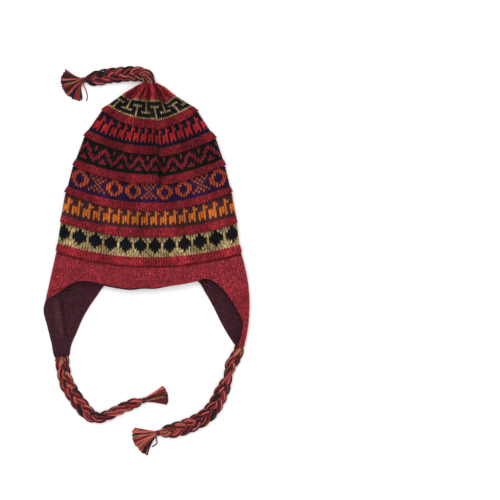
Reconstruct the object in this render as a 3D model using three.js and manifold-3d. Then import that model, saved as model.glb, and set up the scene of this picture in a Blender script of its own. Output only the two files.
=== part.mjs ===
// A chullo: a knitted ear-flap hat of two layers with braided ties, lying flat on its back.
// Millimetres. +Z is up off the surface, +Y points to the crown, +X is the hat's right as it is seen from above.
// The origin is under the middle of the hat's own outline, without its braids and tassels.
import * as THREE from "three";
import Module from "manifold-3d";

// Driving sizes of the fabric
const OUTER_KNIT = 2.6;
const LAYER_GAP = 0.5;
const LINING_KNIT = 2.0;
const WELT_RISE = 3.0;
const BAND_BED = 1.0; // the bands stay this far off the surface, the pressed welts lie on it
const FOLD_RADIUS = 8.5; // of the soft fold down each side
const PLEAT = 1.3; // depth of the gathers round the crown's tip
const CREASE_DEPTH = 2.4; // of the upright crease in the front
const CREASE_STEP = 3.6; // how far the bands drop from one side of that crease to the other
const CREASE_AT = 0.152; // where it runs, as a share of half the front's width
const HEM_INSET = 1.2; // the lining stops this far short of the flaps' edges
const HEM_DROP = 1.3; // and looks out this far under the middle of the front rim
const FIT = 0.4; // air between pieces that are sewn or bound together

const rowsOf = (columns, rows) => rows.map((row) => Object.fromEntries(columns.map((c, i) => [c, row[i]])));

// The crown above the bands: outline at both sides, middle of the front, fold radius, height and bed.
const CAP = rowsOf(
  ["name", "xl", "yl", "xr", "yr", "ym", "fold", "top", "bed", "pleat"],
  [
    ["gather", -3.4, 184.4, 11.4, 184.4, 184.2, 6.4, 16.4, 3.0, 0.5],
    ["crown", -14.5, 178.6, 24.6, 177.9, 174.6, 7.6, 20.0, 1.6, 1.0],
    ["cap_edge", -30.0, 169.4, 38.1, 167.4, 162.7, 8.2, 23.0, 1.0, 0.25],
  ],
);

// Each band of pattern with the welt that ends it: where the band's foot and the welt's lip meet the side folds
// (left x and y, right x and y) and the middle of the front (y), the fabric's height there and the crease's share.
const TIERS = rowsOf(
  ["name", "fxl", "fyl", "fxr", "fyr", "fym", "lxl", "lyl", "lxr", "lyr", "lym", "top", "crease"],
  [
    ["key", -50.0, 154.6, 61.0, 153.5, 135.7, -59.7, 148.5, 70.5, 146.6, 123.4, 25.5, 0.7],
    ["small_llama", -76.7, 121.0, 85.7, 119.9, 99.5, -83.6, 113.4, 95.0, 110.7, 88.0, 28.5, 1.0],
    ["zigzag", -93.5, 82.4, 102.5, 81.8, 61.4, -98.9, 74.0, 107.0, 74.5, 49.1, 30.0, 1.0],
    ["ring", -104.4, 45.6, 112.4, 45.6, 23.6, -109.4, 37.8, 116.4, 37.8, 12.4, 30.5, 0.3],
    ["llama", -112.9, 7.0, 120.4, 5.9, -10.8, -115.1, -2.4, 122.8, -3.8, -23.5, 30.0, 0.0],
    ["diamond", -118.5, -30.6, 125.2, -32.7, -49.4, -121.0, -41.3, 128.6, -43.5, -61.6, 28.0, 0.0],
  ],
);
const BRIM_TOP = { xl: -120.4, yl: -44.0, xr: 128.0, yr: -46.2, ym: -62.6, fold: FOLD_RADIUS, top: 26.0, bed: 0.0 };

// The edge all round, each station with its place on the brim's loop (a share of the half width on the front or the
// back, or a turn in degrees round a side fold), its point, how far the cloth is turned over there, and its bow.
const EDGE_COLUMNS = ["on", "at", "x", "y", "z", "turn", "bow"];
const EDGE = rowsOf(EDGE_COLUMNS, [
  ["front", 0.634, 77.3, -79.2, 18.5, 180, 0],
  ["front", 0.55, 68.9, -82.4, 19.3, 180, 0],
  ["front", 0.44, 55.0, -85.6, 20.4, 180, 0],
  ["front", 0.31, 40.2, -88.0, 21.3, 180, 0],
  ["front", CREASE_AT, 25.3, -89.9, 21.9, 180, 0],
  ["front", 0.05, 11.8, -91.5, 22.0, 180, 0],
  ["front", -0.08, -4.4, -91.0, 22.0, 180, 0],
  ["front", -0.21, -20.6, -93.2, 21.8, 180, 0],
  ["front", -0.34, -36.8, -91.3, 21.4, 180, 0],
  ["front", -0.46, -51.6, -88.3, 20.6, 180, 0],
  ["front", -0.58, -65.1, -84.5, 19.8, 180, 0],
  ["front", -0.7, -77.3, -82.4, 19.0, 180, 0],
  ["front", -0.813, -90.4, -82.4, 18.4, 180, 0],
  ["front", -0.91, -99.8, -85.7, 17.8, 180, 0],
  ["left", 180, -110.4, -92.9, 16.6, 178, 0],
  ["left", 140, -121.8, -100.2, 14.4, 162, 0],
  ["left", 108, -132.4, -106.7, 10.4, 125, 0],
  ["left", 75, -137.2, -120.2, 6.0, 70, 0],
  ["left", 48, -133.2, -140.4, 2.0, 30, 0],
  ["left", 25, -128.0, -162.5, 0.6, 12, 0],
  ["left", 0, -122.6, -184.6, 0.0, 0, 0],
  ["back", -0.95, -113.7, -185.2, 0.0, 0, 0],
  ["back", -0.9, -104.6, -184.6, 0.0, 0, 0],
  ["back", -0.85, -100.8, -168.3, 0.0, 0, 0],
  ["back", -0.79, -93.5, -151.2, 0.0, 0, 0],
  ["back", -0.73, -84.7, -131.0, 0.0, 0, 0],
  ["back", -0.66, -75.9, -116.1, 0.0, 0, 0],
  ["back", -0.59, -66.5, -102.6, 0.0, 0, 0],
  ["back", -0.514, -55.7, -88.4, 0.0, 0, 0],
  ["back", -0.38, -40.8, -86.4, 0.0, 0, 0],
  ["back", -0.22, -22.6, -86.4, 0.0, 0, 0],
  ["back", -0.06, -3.4, -86.4, 0.0, 0, 0],
  ["back", 0.1, 15.4, -86.4, 0.0, 0, 0],
  ["back", 0.26, 34.5, -86.4, 0.0, 0, 0],
  ["back", 0.42, 53.0, -85.4, 0.0, 0, 0],
  ["back", 0.566, 69.5, -82.9, 0.0, 0, 0],
  ["back", 0.64, 81.3, -100.4, 0.0, 0, 0],
  ["back", 0.71, 91.5, -118.8, 0.0, 0, 2],
  ["back", 0.79, 99.6, -135.5, 0.0, 0, 4],
  ["back", 0.87, 109.0, -152.6, 0.0, 0, 7],
  ["back", 0.94, 120.6, -169.7, 0.0, 0, 10],
  ["right", 8, 124.9, -170.8, 0.0, 0, 13],
  ["right", 48, 129.5, -171.3, 1.9, 45, 15],
  ["right", 90, 131.4, -171.5, 6.5, 90, 14],
  ["right", 132, 129.5, -171.3, 11.1, 135, 17],
  ["right", 165, 121.9, -169.7, 13.0, 170, 23],
  ["right", 180, 128.0, -153.9, 13.4, 174, 15],
  ["front", 0.95, 129.6, -139.1, 13.9, 178, 4],
  ["front", 0.9, 124.4, -124.2, 15.2, 180, 2],
  ["front", 0.84, 115.5, -108.7, 16.6, 180, 0],
  ["front", 0.77, 102.3, -91.8, 17.8, 180, 0],
  ["front", 0.7, 88.8, -81.0, 18.3, 180, 0],
]);
const BRIM_STEPS = [0.14, 0.3, 0.46, 0.62, 0.76, 0.89, 1.0]; // rows from the last welt to the edge
const CROWN_TIP = new THREE.Vector3(4.0, 184.8, 9.6);

// Cords: the middle line, its width and its thickness.
const CORD_COLUMNS = ["x", "y", "z", "wide", "thick"];
const TOP_BRAID = rowsOf(CORD_COLUMNS, [
  [4.3, 186.4, 9.5, 12.4, 11.5],
  [3.2, 191.2, 8.9, 13.5, 12.0],
  [-4.6, 196.0, 7.0, 16.5, 12.5],
  [-20.0, 197.1, 6.3, 19.5, 12.4],
  [-39.5, 195.3, 6.2, 19.5, 12.2],
  [-54.6, 193.6, 6.1, 18.5, 12.0],
  [-69.2, 190.4, 6.0, 15.5, 11.6],
  [-81.6, 188.8, 5.6, 9.0, 9.0],
]);
const LEFT_TIE = rowsOf(CORD_COLUMNS, [
  [-113.7, -185.8, 5.2, 15.0, 9.6],
  [-112.0, -199.8, 5.8, 17.5, 11.4],
  [-108.3, -216.7, 6.0, 18.5, 11.8],
  [-102.9, -228.2, 6.0, 19.0, 11.8],
  [-94.8, -240.3, 6.0, 19.0, 11.8],
  [-85.7, -252.5, 6.0, 19.0, 11.8],
  [-76.6, -262.2, 6.2, 17.5, 12.2],
  [-65.8, -266.9, 6.6, 14.0, 13.0],
  [-56.4, -265.0, 6.7, 13.5, 13.2],
  [-46.0, -260.6, 6.7, 13.5, 13.2],
  [-32.2, -253.6, 6.6, 13.5, 13.0],
  [-17.1, -247.6, 6.2, 13.0, 12.2],
  [-5.6, -244.0, 5.6, 9.0, 9.0],
]);
const RIGHT_TIE = rowsOf(CORD_COLUMNS, [
  [126.0, -172.3, 6.0, 11.0, 11.0],
  [122.0, -182.9, 6.0, 15.0, 11.6],
  [114.9, -194.4, 6.0, 15.5, 11.8],
  [111.7, -204.4, 6.4, 12.5, 12.6],
  [110.0, -213.3, 6.4, 12.0, 12.6],
  [105.4, -224.5, 6.0, 17.0, 11.8],
  [99.6, -237.1, 6.0, 19.0, 11.8],
  [93.0, -250.4, 6.0, 19.5, 11.8],
  [83.4, -262.0, 6.0, 20.0, 11.8],
  [70.9, -270.8, 6.0, 20.0, 11.8],
  [53.4, -278.6, 6.0, 20.0, 11.8],
  [34.8, -284.0, 6.0, 17.5, 11.8],
  [18.6, -286.9, 5.6, 9.0, 9.0],
]);
const CORD_SIDES = 10;

// Tassels: the heading and spread of the fan in degrees and the length of its locks.
const FAN_COLUMNS = ["name", "cord", "heading", "spread", "reach"];
const FANS = rowsOf(FAN_COLUMNS, [
  ["top", TOP_BRAID, 214, 128, 27.5],
  ["left", LEFT_TIE, 11, 46, 30.0],
  ["right", RIGHT_TIE, 206, 84, 31.0],
]);
const NECK_RADIUS = 3.3;
const NECK_LENGTH = 5.6;
const BINDING_WALL = 1.5;
const LOCK_RADIUS = 2.3;
const LOWER_LOCKS = 8;
const UPPER_LOCKS = 5;

// A point of the hat's loop on one row: the outline of the pressed bag with its soft folds, moved inwards by depth.
function onRow(row, place, depth) {
  const half = (row.xr - row.xl) / 2;
  const middle = (row.xr + row.xl) / 2;
  const fold = Math.min(row.fold, half * 0.92);
  const flat = half - fold;
  const turn = THREE.MathUtils.degToRad(place.on === "front" ? 180 : place.on === "back" ? 0 : place.at);
  const side = place.on === "left" ? -1 : place.on === "right" ? 1 : 0;
  const share = side === 0 ? place.at : side;
  const point = new THREE.Vector3();
  point.x = middle + share * flat + side * (fold - depth) * Math.sin(turn);
  if (side === 0) {
    const puffed = row.bed + 2 * fold + Math.max(0, row.top - row.bed - 2 * fold) * (1 - share * share);
    point.z = place.on === "front" ? puffed - depth : row.bed + depth;
  } else {
    point.z = row.bed + fold - (fold - depth) * Math.cos(turn);
  }
  const across = THREE.MathUtils.clamp((point.x - middle) / half, -1, 1);
  const sideY = THREE.MathUtils.lerp(row.yl, row.yr, (across + 1) / 2);
  point.y = sideY + (row.ym - (row.yl + row.yr) / 2) * (1 - across * across);
  if (place.on === "front" && row.crease) {
    const off = (share - CREASE_AT) / 0.06;
    point.z -= row.crease * CREASE_DEPTH * Math.exp(-off * off);
    if (share >= CREASE_AT - 0.01) point.y -= row.crease * CREASE_STEP * Math.max(0, 1 - (share - CREASE_AT) / 0.7);
  }
  return point;
}

// A point between the last welt and the edge: the cloth runs down from the brim's loop to its station on the edge.
function onBrim(station, along, depth, reach) {
  const start = onRow(BRIM_TOP, station, 0);
  const end = new THREE.Vector3(station.x, station.y, station.z);
  const run = new THREE.Vector2(end.x - start.x, end.y - start.y);
  end.x += (run.x / run.length()) * reach;
  end.y += (run.y / run.length()) * reach;
  const bend = new THREE.Vector3().addVectors(start, end).multiplyScalar(0.5);
  bend.x += station.bow;
  const point = new THREE.QuadraticBezierCurve3(start, bend, end).getPoint(along);
  const first = station.on === "front" ? 180 : station.on === "back" ? 0 : station.at;
  const turn = THREE.MathUtils.degToRad(THREE.MathUtils.lerp(first, station.turn, along));
  const inward = point.x < 0 ? 1 : -1;
  point.x += depth * inward * Math.sin(turn);
  point.z += depth * Math.cos(turn);
  return point;
}

// The rows of one face of a layer, from the crown's tip to the edge. The outside face has the welts and the pleats.
function faceRows(depth, outside, reachAt) {
  const crown = CAP.map((row) => ({ ...row, drop: row.name === "gather" ? depth : depth * 0.5 }));
  for (const t of TIERS) {
    const foot = { xl: t.fxl, yl: t.fyl, xr: t.fxr, yr: t.fyr, ym: t.fym, crease: t.crease };
    const lip = { xl: t.lxl, yl: t.lyl, xr: t.lxr, yr: t.lyr, ym: t.lym, crease: t.crease };
    const plain = { fold: FOLD_RADIUS, top: t.top, bed: BAND_BED };
    crown.push({ ...foot, ...plain });
    const under = {
      xl: lip.xl + 0.7,
      yl: lip.yl - 2.8,
      xr: lip.xr - 0.7,
      yr: lip.yr - 2.8,
      ym: lip.ym - 0.8,
      crease: t.crease,
      ...plain,
    };
    if (outside) {
      const rise = { fold: FOLD_RADIUS + WELT_RISE / 2, top: t.top + WELT_RISE, bed: 0 };
      const roll = {};
      for (const k of ["xl", "xr"]) roll[k] = foot[k] * 0.36 + lip[k] * 0.64;
      for (const k of ["yl", "yr", "ym"]) roll[k] = foot[k] * 0.6 + lip[k] * 0.4;
      crown.push({ ...roll, ...rise, top: t.top + WELT_RISE * 0.85, fold: rise.fold - 0.3, crease: t.crease });
      crown.push({ ...lip, ...rise });
    }
    if (outside && t.name !== "diamond") crown.push(under);
  }
  crown.push(BRIM_TOP);
  const rows = crown.map((row) =>
    EDGE.map((station, i) => {
      const point = onRow(row, station, depth);
      point.y -= row.drop || 0;
      if (outside && row.pleat && station.on === "front") point.z += row.pleat * PLEAT * (i % 2 ? -1 : 0.6);
      return point;
    }),
  );
  const steps = outside ? BRIM_STEPS : BRIM_STEPS.filter((_, k) => k % 2 === 0);
  for (const along of steps) rows.push(EDGE.map((s) => onBrim(s, along, depth, reachAt(s) * along)));
  return rows;
}

function meshOf(points, faces) {
  const geometry = new THREE.BufferGeometry();
  const flat = new Float32Array(points.length * 3);
  points.forEach((p, i) => flat.set([p.x, p.y, p.z], i * 3));
  geometry.setAttribute("position", new THREE.BufferAttribute(flat, 3));
  geometry.setIndex(faces);
  geometry.computeVertexNormals();
  return geometry;
}

// One closed wall of cloth between an outside face and an inside face that share the edge's stations.
function layer(outer, outerTip, inner, innerTip) {
  const n = EDGE.length;
  const points = [outerTip, ...outer.flat(), innerTip, ...inner.flat()];
  const o = (r, c) => 1 + r * n + (c % n);
  const first = 1 + outer.length * n;
  const i = (r, c) => first + 1 + r * n + (c % n);
  const faces = [];
  const quad = (a, b, c, d) => faces.push(a, b, c, a, c, d);
  for (let c = 0; c < n; c++) {
    faces.push(0, o(0, c + 1), o(0, c));
    for (let r = 0; r + 1 < outer.length; r++) quad(o(r, c), o(r, c + 1), o(r + 1, c + 1), o(r + 1, c));
    quad(o(outer.length - 1, c), o(outer.length - 1, c + 1), i(inner.length - 1, c + 1), i(inner.length - 1, c));
    for (let r = 0; r + 1 < inner.length; r++) quad(i(r, c), i(r + 1, c), i(r + 1, c + 1), i(r, c + 1));
    faces.push(first, i(0, c), i(0, c + 1));
  }
  return meshOf(points, faces);
}

const tipAt = (depth) => new THREE.Vector3(CROWN_TIP.x, CROWN_TIP.y - depth * 1.1, CROWN_TIP.z);
const flush = () => 0;
const hem = (s) => {
  if (s.turn === 180 && s.y > -94) {
    return HEM_DROP * THREE.MathUtils.clamp(1.6 - Math.abs(s.x + 28) / 40, -0.2, 1);
  }
  return -HEM_INSET;
};
const liningFace = OUTER_KNIT + LAYER_GAP;
const outerGeometry = layer(faceRows(0, true, flush), tipAt(0), faceRows(OUTER_KNIT, false, flush), tipAt(OUTER_KNIT));
const liningGeometry = layer(
  faceRows(liningFace, false, hem),
  tipAt(liningFace),
  faceRows(liningFace + LINING_KNIT, false, hem),
  tipAt(liningFace + LINING_KNIT),
);

// A cord of oval section along its table, closed at both ends.
function cord(table, steps) {
  const line = new THREE.CatmullRomCurve3(table.map((p) => new THREE.Vector3(p.x, p.y, p.z)));
  const sizes = new THREE.CatmullRomCurve3(table.map((p) => new THREE.Vector3(p.wide, p.thick, 0)));
  const points = [];
  const faces = [];
  for (let s = 0; s <= steps; s++) {
    const at = line.getPoint(s / steps);
    const size = sizes.getPoint(s / steps);
    const ahead = line.getTangent(s / steps);
    const aside = new THREE.Vector3(ahead.y, -ahead.x, 0).normalize();
    const above = new THREE.Vector3().crossVectors(aside, ahead).normalize();
    for (let k = 0; k < CORD_SIDES; k++) {
      const a = (2 * Math.PI * (k + 0.5)) / CORD_SIDES;
      const p = at.clone().addScaledVector(aside, (size.x / 2) * Math.cos(a));
      points.push(p.addScaledVector(above, (size.y / 2) * Math.sin(a)));
    }
  }
  const id = (s, k) => s * CORD_SIDES + (k % CORD_SIDES);
  for (let k = 0; k < CORD_SIDES; k++) {
    for (let s = 0; s < steps; s++) {
      faces.push(id(s, k), id(s + 1, k), id(s + 1, k + 1), id(s, k), id(s + 1, k + 1), id(s, k + 1));
    }
  }
  for (let k = 1; k + 1 < CORD_SIDES; k++) {
    faces.push(id(0, 0), id(0, k), id(0, k + 1), id(steps, 0), id(steps, k + 1), id(steps, k));
  }
  return meshOf(points, faces);
}

// A tapering lock of yarn along three points.
function lock(root, bend, tip, thin, thick, end) {
  const line = new THREE.QuadraticBezierCurve3(root, bend, tip);
  const sides = 5;
  const steps = 3;
  const points = [];
  const faces = [];
  for (let s = 0; s <= steps; s++) {
    const t = s / steps;
    const radius = t < 0.5 ? THREE.MathUtils.lerp(thin, thick, t * 2) : THREE.MathUtils.lerp(thick, end, t * 2 - 1);
    const at = line.getPoint(t);
    const ahead = line.getTangent(t);
    const aside = new THREE.Vector3(ahead.y, -ahead.x, 0).normalize();
    const above = new THREE.Vector3().crossVectors(aside, ahead).normalize();
    for (let k = 0; k < sides; k++) {
      const a = (2 * Math.PI * (k + 0.5)) / sides;
      const p = at.clone().addScaledVector(aside, radius * Math.cos(a)).addScaledVector(above, radius * Math.sin(a));
      p.z = Math.max(p.z, 0);
      points.push(p);
    }
  }
  const id = (s, k) => s * sides + (k % sides);
  for (let k = 0; k < sides; k++) {
    for (let s = 0; s < steps; s++) {
      faces.push(id(s, k), id(s + 1, k), id(s + 1, k + 1), id(s, k), id(s + 1, k + 1), id(s, k + 1));
    }
  }
  for (let k = 1; k + 1 < sides; k++) {
    faces.push(id(0, 0), id(0, k), id(0, k + 1), id(steps, 0), id(steps, k + 1), id(steps, k));
  }
  return meshOf(points, faces);
}

const wasm = await Module();
wasm.setup();

function fused(geometries) {
  const solids = geometries.map((g) => {
    const plain = g.index ? g : g.clone();
    return new wasm.Manifold(
      new wasm.Mesh({
        numProp: 3,
        vertProperties: new Float32Array(plain.attributes.position.array),
        triVerts: new Uint32Array(plain.index.array),
      }),
    );
  });
  const made = wasm.Manifold.union(solids).getMesh();
  const points = [];
  for (let i = 0; i < made.numVert; i++) {
    points.push(new THREE.Vector3().fromArray(made.vertProperties, i * made.numProp));
  }
  return meshOf(points, Array.from(made.triVerts));
}

// Where a cord ends and which way it heads there.
function endOf(table) {
  const line = new THREE.CatmullRomCurve3(table.map((p) => new THREE.Vector3(p.x, p.y, p.z)));
  return { at: line.getPoint(1), ahead: line.getTangent(1) };
}

// A tassel: a neck that the binding holds, and two layers of locks that fan out over the surface.
function tassel(fan) {
  const { at, ahead } = endOf(fan.cord);
  const neck = at.clone().addScaledVector(ahead, FIT);
  const head = at.clone().addScaledVector(ahead, FIT + NECK_LENGTH);
  const middle = neck.clone().lerp(head, 0.5);
  const pieces = [lock(neck, middle, head.clone().addScaledVector(ahead, 2), NECK_RADIUS, NECK_RADIUS, NECK_RADIUS)];
  const fanOf = (count, low, spread, reach) => {
    for (let j = 0; j < count; j++) {
      const share = count > 1 ? j / (count - 1) - 0.5 : 0;
      const a = THREE.MathUtils.degToRad(fan.heading + share * spread);
      const out = new THREE.Vector3(Math.cos(a), Math.sin(a), 0);
      const far = reach * (1 - 0.1 * ((j * 7) % 3) * 0.5);
      const root = head.clone();
      const bend = head.clone().addScaledVector(ahead, far * 0.28).addScaledVector(out, far * 0.22);
      bend.z = low ? 4.0 : 7.0;
      const tip = head.clone().addScaledVector(out, far);
      tip.z = low ? 2.1 : 4.4;
      pieces.push(lock(root, bend, tip, LOCK_RADIUS * 0.95, LOCK_RADIUS * 1.25, LOCK_RADIUS * 1.1));
    }
  };
  fanOf(LOWER_LOCKS, true, fan.spread, fan.reach - NECK_LENGTH * 0.4);
  fanOf(UPPER_LOCKS, false, fan.spread * 0.72, fan.reach - NECK_LENGTH * 0.5);
  return fused(pieces);
}

// The yarn wound round a tassel's neck.
function binding(fan) {
  const { at, ahead } = endOf(fan.cord);
  const inner = NECK_RADIUS + FIT;
  const outer = inner + BINDING_WALL;
  const low = FIT + 0.5;
  const high = FIT + NECK_LENGTH - 1.9;
  const outline = [
    [inner, low],
    [outer - 0.5, low],
    [outer, low + 0.8],
    [outer, high - 0.8],
    [outer - 0.5, high],
    [inner, high],
    [inner, low],
  ].map(([x, y]) => new THREE.Vector2(x, y));
  const ring = new THREE.LatheGeometry(outline, 10);
  ring.applyQuaternion(new THREE.Quaternion().setFromUnitVectors(new THREE.Vector3(0, 1, 0), ahead));
  return ring.translate(at.x, at.y, at.z);
}

const hat = new THREE.Group();
hat.name = "chullo";
function add(name, geometry, colour) {
  const mesh = new THREE.Mesh(geometry, new THREE.MeshStandardMaterial({ color: colour, roughness: 0.95 }));
  mesh.name = name;
  hat.add(mesh);
}
add("outer_shell", outerGeometry, 0x8f222c);
add("lining", liningGeometry, 0x3d2029);
add("top_braid", cord(TOP_BRAID, 18), 0x8c2d28);
add("left_tie", cord(LEFT_TIE, 28), 0x8c2d28);
add("right_tie", cord(RIGHT_TIE, 28), 0x8c2d28);
for (const fan of FANS) {
  add(fan.name + "_tassel", tassel(fan), 0x6e2a26);
  add(fan.name + "_binding", binding(fan), 0x4a1c24);
}

export default hat;
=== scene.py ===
# A knitted ear-flap hat of two layers with plaited ties, lying flat on its back.
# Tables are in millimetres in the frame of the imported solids: +Z up, +Y to the crown, +X to the hat's right.
import math

import bpy
import numpy as np
from bpy.props import FloatProperty, FloatVectorProperty, IntProperty, PointerProperty
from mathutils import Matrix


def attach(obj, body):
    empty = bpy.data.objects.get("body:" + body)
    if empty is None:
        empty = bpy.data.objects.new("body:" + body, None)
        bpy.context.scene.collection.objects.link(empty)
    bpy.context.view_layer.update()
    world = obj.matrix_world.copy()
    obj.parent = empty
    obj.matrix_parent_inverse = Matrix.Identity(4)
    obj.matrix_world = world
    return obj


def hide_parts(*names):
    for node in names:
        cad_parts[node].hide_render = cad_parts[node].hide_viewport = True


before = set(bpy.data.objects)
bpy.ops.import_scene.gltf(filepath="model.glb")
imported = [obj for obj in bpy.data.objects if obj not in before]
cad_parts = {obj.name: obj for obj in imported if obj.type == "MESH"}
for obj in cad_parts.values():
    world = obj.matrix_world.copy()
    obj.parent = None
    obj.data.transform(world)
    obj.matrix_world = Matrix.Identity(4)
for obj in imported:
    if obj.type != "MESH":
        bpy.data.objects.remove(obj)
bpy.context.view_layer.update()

bl_info = {
    "name": "Chullo",
    "version": (1, 0, 0),
    "blender": (4, 5, 0),
    "location": "View3D > Sidebar > Chullo",
    "description": "Knits, plaits and lays out an ear-flap hat over its solids",
    "category": "Add Mesh",
}

MM = 0.001


def linear(code):
    """Linear red, green and blue of an sRGB hex colour."""
    parts = [int(code[i : i + 2], 16) / 255 for i in (0, 2, 4)]
    return tuple(c / 12.92 if c <= 0.04045 else ((c + 0.055) / 1.055) ** 2.4 for c in parts)


# Sizes that are shared with the solids
OUTER_KNIT = 2.6
LAYER_GAP = 0.5
LINING_KNIT = 2.0
WELT_RISE = 3.0
BAND_BED = 1.0
FOLD_RADIUS = 8.5
CREASE_DEPTH = 2.4
CREASE_STEP = 3.6
CREASE_AT = 0.152
HEM_INSET = 1.2
HEM_DROP = 2.1
FIT = 0.4
NECK_LENGTH = 5.6
NECK_RADIUS = 3.3

# A row of the pressed bag: left x and y, right x and y, y in the middle, fold radius, top, bed and
# share of the crease
CROWN_TIP = np.array([4.0, 184.8, 9.6])
GATHER = np.array([-3.4, 184.4, 11.4, 184.4, 184.2, 6.4, 16.4, 3.0, 0.0])
CROWN = np.array([-14.5, 178.6, 24.6, 177.9, 174.6, 7.6, 20.0, 1.6, 0.0])
CAP_EDGE = np.array([-30.0, 169.4, 38.1, 167.4, 162.7, 8.2, 23.0, 1.0, 0.0])
BRIM_TOP = np.array([-120.4, -44.0, 128.0, -46.2, -62.6, FOLD_RADIUS, 26.0, 0.0, 0.0])
# The brim's loop: half its flat width, the way round one of its two folds, and the way all round
BRIM_FLAT = (BRIM_TOP[2] - BRIM_TOP[0]) / 2 - FOLD_RADIUS
BRIM_BEND = math.pi * FOLD_RADIUS
BRIM_ROUND = 4 * BRIM_FLAT + 2 * BRIM_BEND

# Tiers: the band's foot and the welt's lip (left x and y, right x and y, y in the middle), top and crease
TIERS = {
    "key": ((-50.0, 154.6, 61.0, 153.5, 135.7), (-59.7, 148.5, 70.5, 146.6, 123.4), 25.5, 0.7),
    "small_llama": ((-76.7, 121.0, 85.7, 119.9, 99.5), (-83.6, 113.4, 95.0, 110.7, 88.0), 28.5, 1.0),
    "zigzag": ((-93.5, 82.4, 102.5, 81.8, 61.4), (-98.9, 74.0, 107.0, 74.5, 49.1), 30.0, 1.0),
    "ring": ((-104.4, 45.6, 112.4, 45.6, 23.6), (-109.4, 37.8, 116.4, 37.8, 12.4), 30.5, 0.3),
    "llama": ((-112.9, 7.0, 120.4, 5.9, -10.8), (-115.1, -2.4, 122.8, -3.8, -23.5), 30.0, 0.0),
    "diamond": ((-118.5, -30.6, 125.2, -32.7, -49.4), (-121.0, -41.3, 128.6, -43.5, -61.6), 28.0, 0.0),
}

# A welt's section: share of its rows, way down from foot to lip, way out from foot to lip, share of its rise
WELT_SECTION = np.array(
    [
        (0.00, 0.00, 0.00, 0.00),
        (0.14, 0.13, 0.20, 0.32),
        (0.28, 0.28, 0.38, 0.75),
        (0.46, 0.48, 0.58, 0.98),
        (0.63, 0.70, 0.77, 1.00),
        (0.78, 0.88, 0.92, 0.90),
        (0.88, 0.99, 1.00, 0.62),
        (0.93, 1.01, 1.00, 0.34),
        (1.00, 0.93, 0.97, 0.06),
    ]
)

# The edge all round: place on the brim's loop, point, how far the cloth is turned over there, and its bow.
# Where they are left out, height and bow are 0, the front is turned right over and the back isn't.
EDGE = [
    ("front", 0.634, 77.3, -79.2, 18.5),
    ("front", 0.55, 68.9, -82.4, 19.3),
    ("front", 0.44, 55.0, -85.6, 20.4),
    ("front", 0.31, 40.2, -88.0, 21.3),
    ("front", CREASE_AT, 25.3, -89.9, 21.9),
    ("front", 0.05, 11.8, -91.5, 22.0),
    ("front", -0.08, -4.4, -90.6, 22.0),
    ("front", -0.21, -20.6, -92.3, 21.8),
    ("front", -0.34, -36.8, -90.4, 21.4),
    ("front", -0.46, -51.6, -87.5, 20.6),
    ("front", -0.58, -65.1, -84.5, 19.8),
    ("front", -0.7, -77.3, -82.4, 19.0),
    ("front", -0.813, -90.4, -82.4, 18.4),
    ("front", -0.91, -99.8, -85.7, 17.8),
    ("left", 180, -110.4, -92.9, 16.6, 178),
    ("left", 140, -121.8, -100.2, 14.4, 162),
    ("left", 108, -132.4, -106.7, 10.4, 125),
    ("left", 75, -137.2, -120.2, 6.0, 70),
    ("left", 48, -133.2, -140.4, 2.0, 30),
    ("left", 25, -128.0, -162.5, 0.6, 12),
    ("left", 0, -122.6, -184.6),
    ("back", -0.95, -113.7, -185.2),
    ("back", -0.9, -104.6, -184.6),
    ("back", -0.85, -100.8, -168.3),
    ("back", -0.79, -93.5, -151.2),
    ("back", -0.73, -84.7, -131.0),
    ("back", -0.66, -75.9, -116.1),
    ("back", -0.59, -66.5, -102.6),
    ("back", -0.514, -55.7, -88.4),
    ("back", -0.38, -40.8, -86.4),
    ("back", -0.22, -22.6, -86.4),
    ("back", -0.06, -3.4, -86.4),
    ("back", 0.1, 15.4, -86.4),
    ("back", 0.26, 34.5, -86.4),
    ("back", 0.42, 53.0, -85.4),
    ("back", 0.566, 69.5, -82.9),
    ("back", 0.64, 81.3, -100.4),
    ("back", 0.71, 91.5, -118.8, 0.0, 0, 2),
    ("back", 0.79, 99.6, -135.5, 0.0, 0, 4),
    ("back", 0.87, 109.0, -152.6, 0.0, 0, 7),
    ("back", 0.94, 120.6, -169.7, 0.0, 0, 10),
    ("right", 8, 124.9, -170.8, 0.0, 0, 13),
    ("right", 48, 129.5, -171.3, 1.9, 45, 17),
    ("right", 90, 131.4, -171.5, 6.5, 90, 18),
    ("right", 132, 129.5, -171.3, 11.1, 135, 20),
    ("right", 165, 123.6, -169.7, 13.0, 170, 24),
    ("right", 180, 130.0, -153.9, 13.4, 174, 15),
    ("front", 0.95, 130.8, -139.1, 13.9, 178, 4),
    ("front", 0.9, 124.4, -124.2, 15.2, 180, 2),
    ("front", 0.84, 115.5, -108.7, 16.6),
    ("front", 0.77, 102.3, -91.8, 17.8),
    ("front", 0.7, 88.8, -81.0, 18.3),
]

# Folds of the gathered cap: place across its front, width and depth
CAP_FOLDS = [
    (-0.88, 0.05, 0.5),
    (-0.62, 0.07, 1.0),
    (-0.33, 0.06, 0.5),
    (-0.03, 0.07, 1.0),
    (0.27, 0.06, 0.5),
    (0.58, 0.09, 1.2),
    (0.85, 0.05, 0.5),
]
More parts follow.
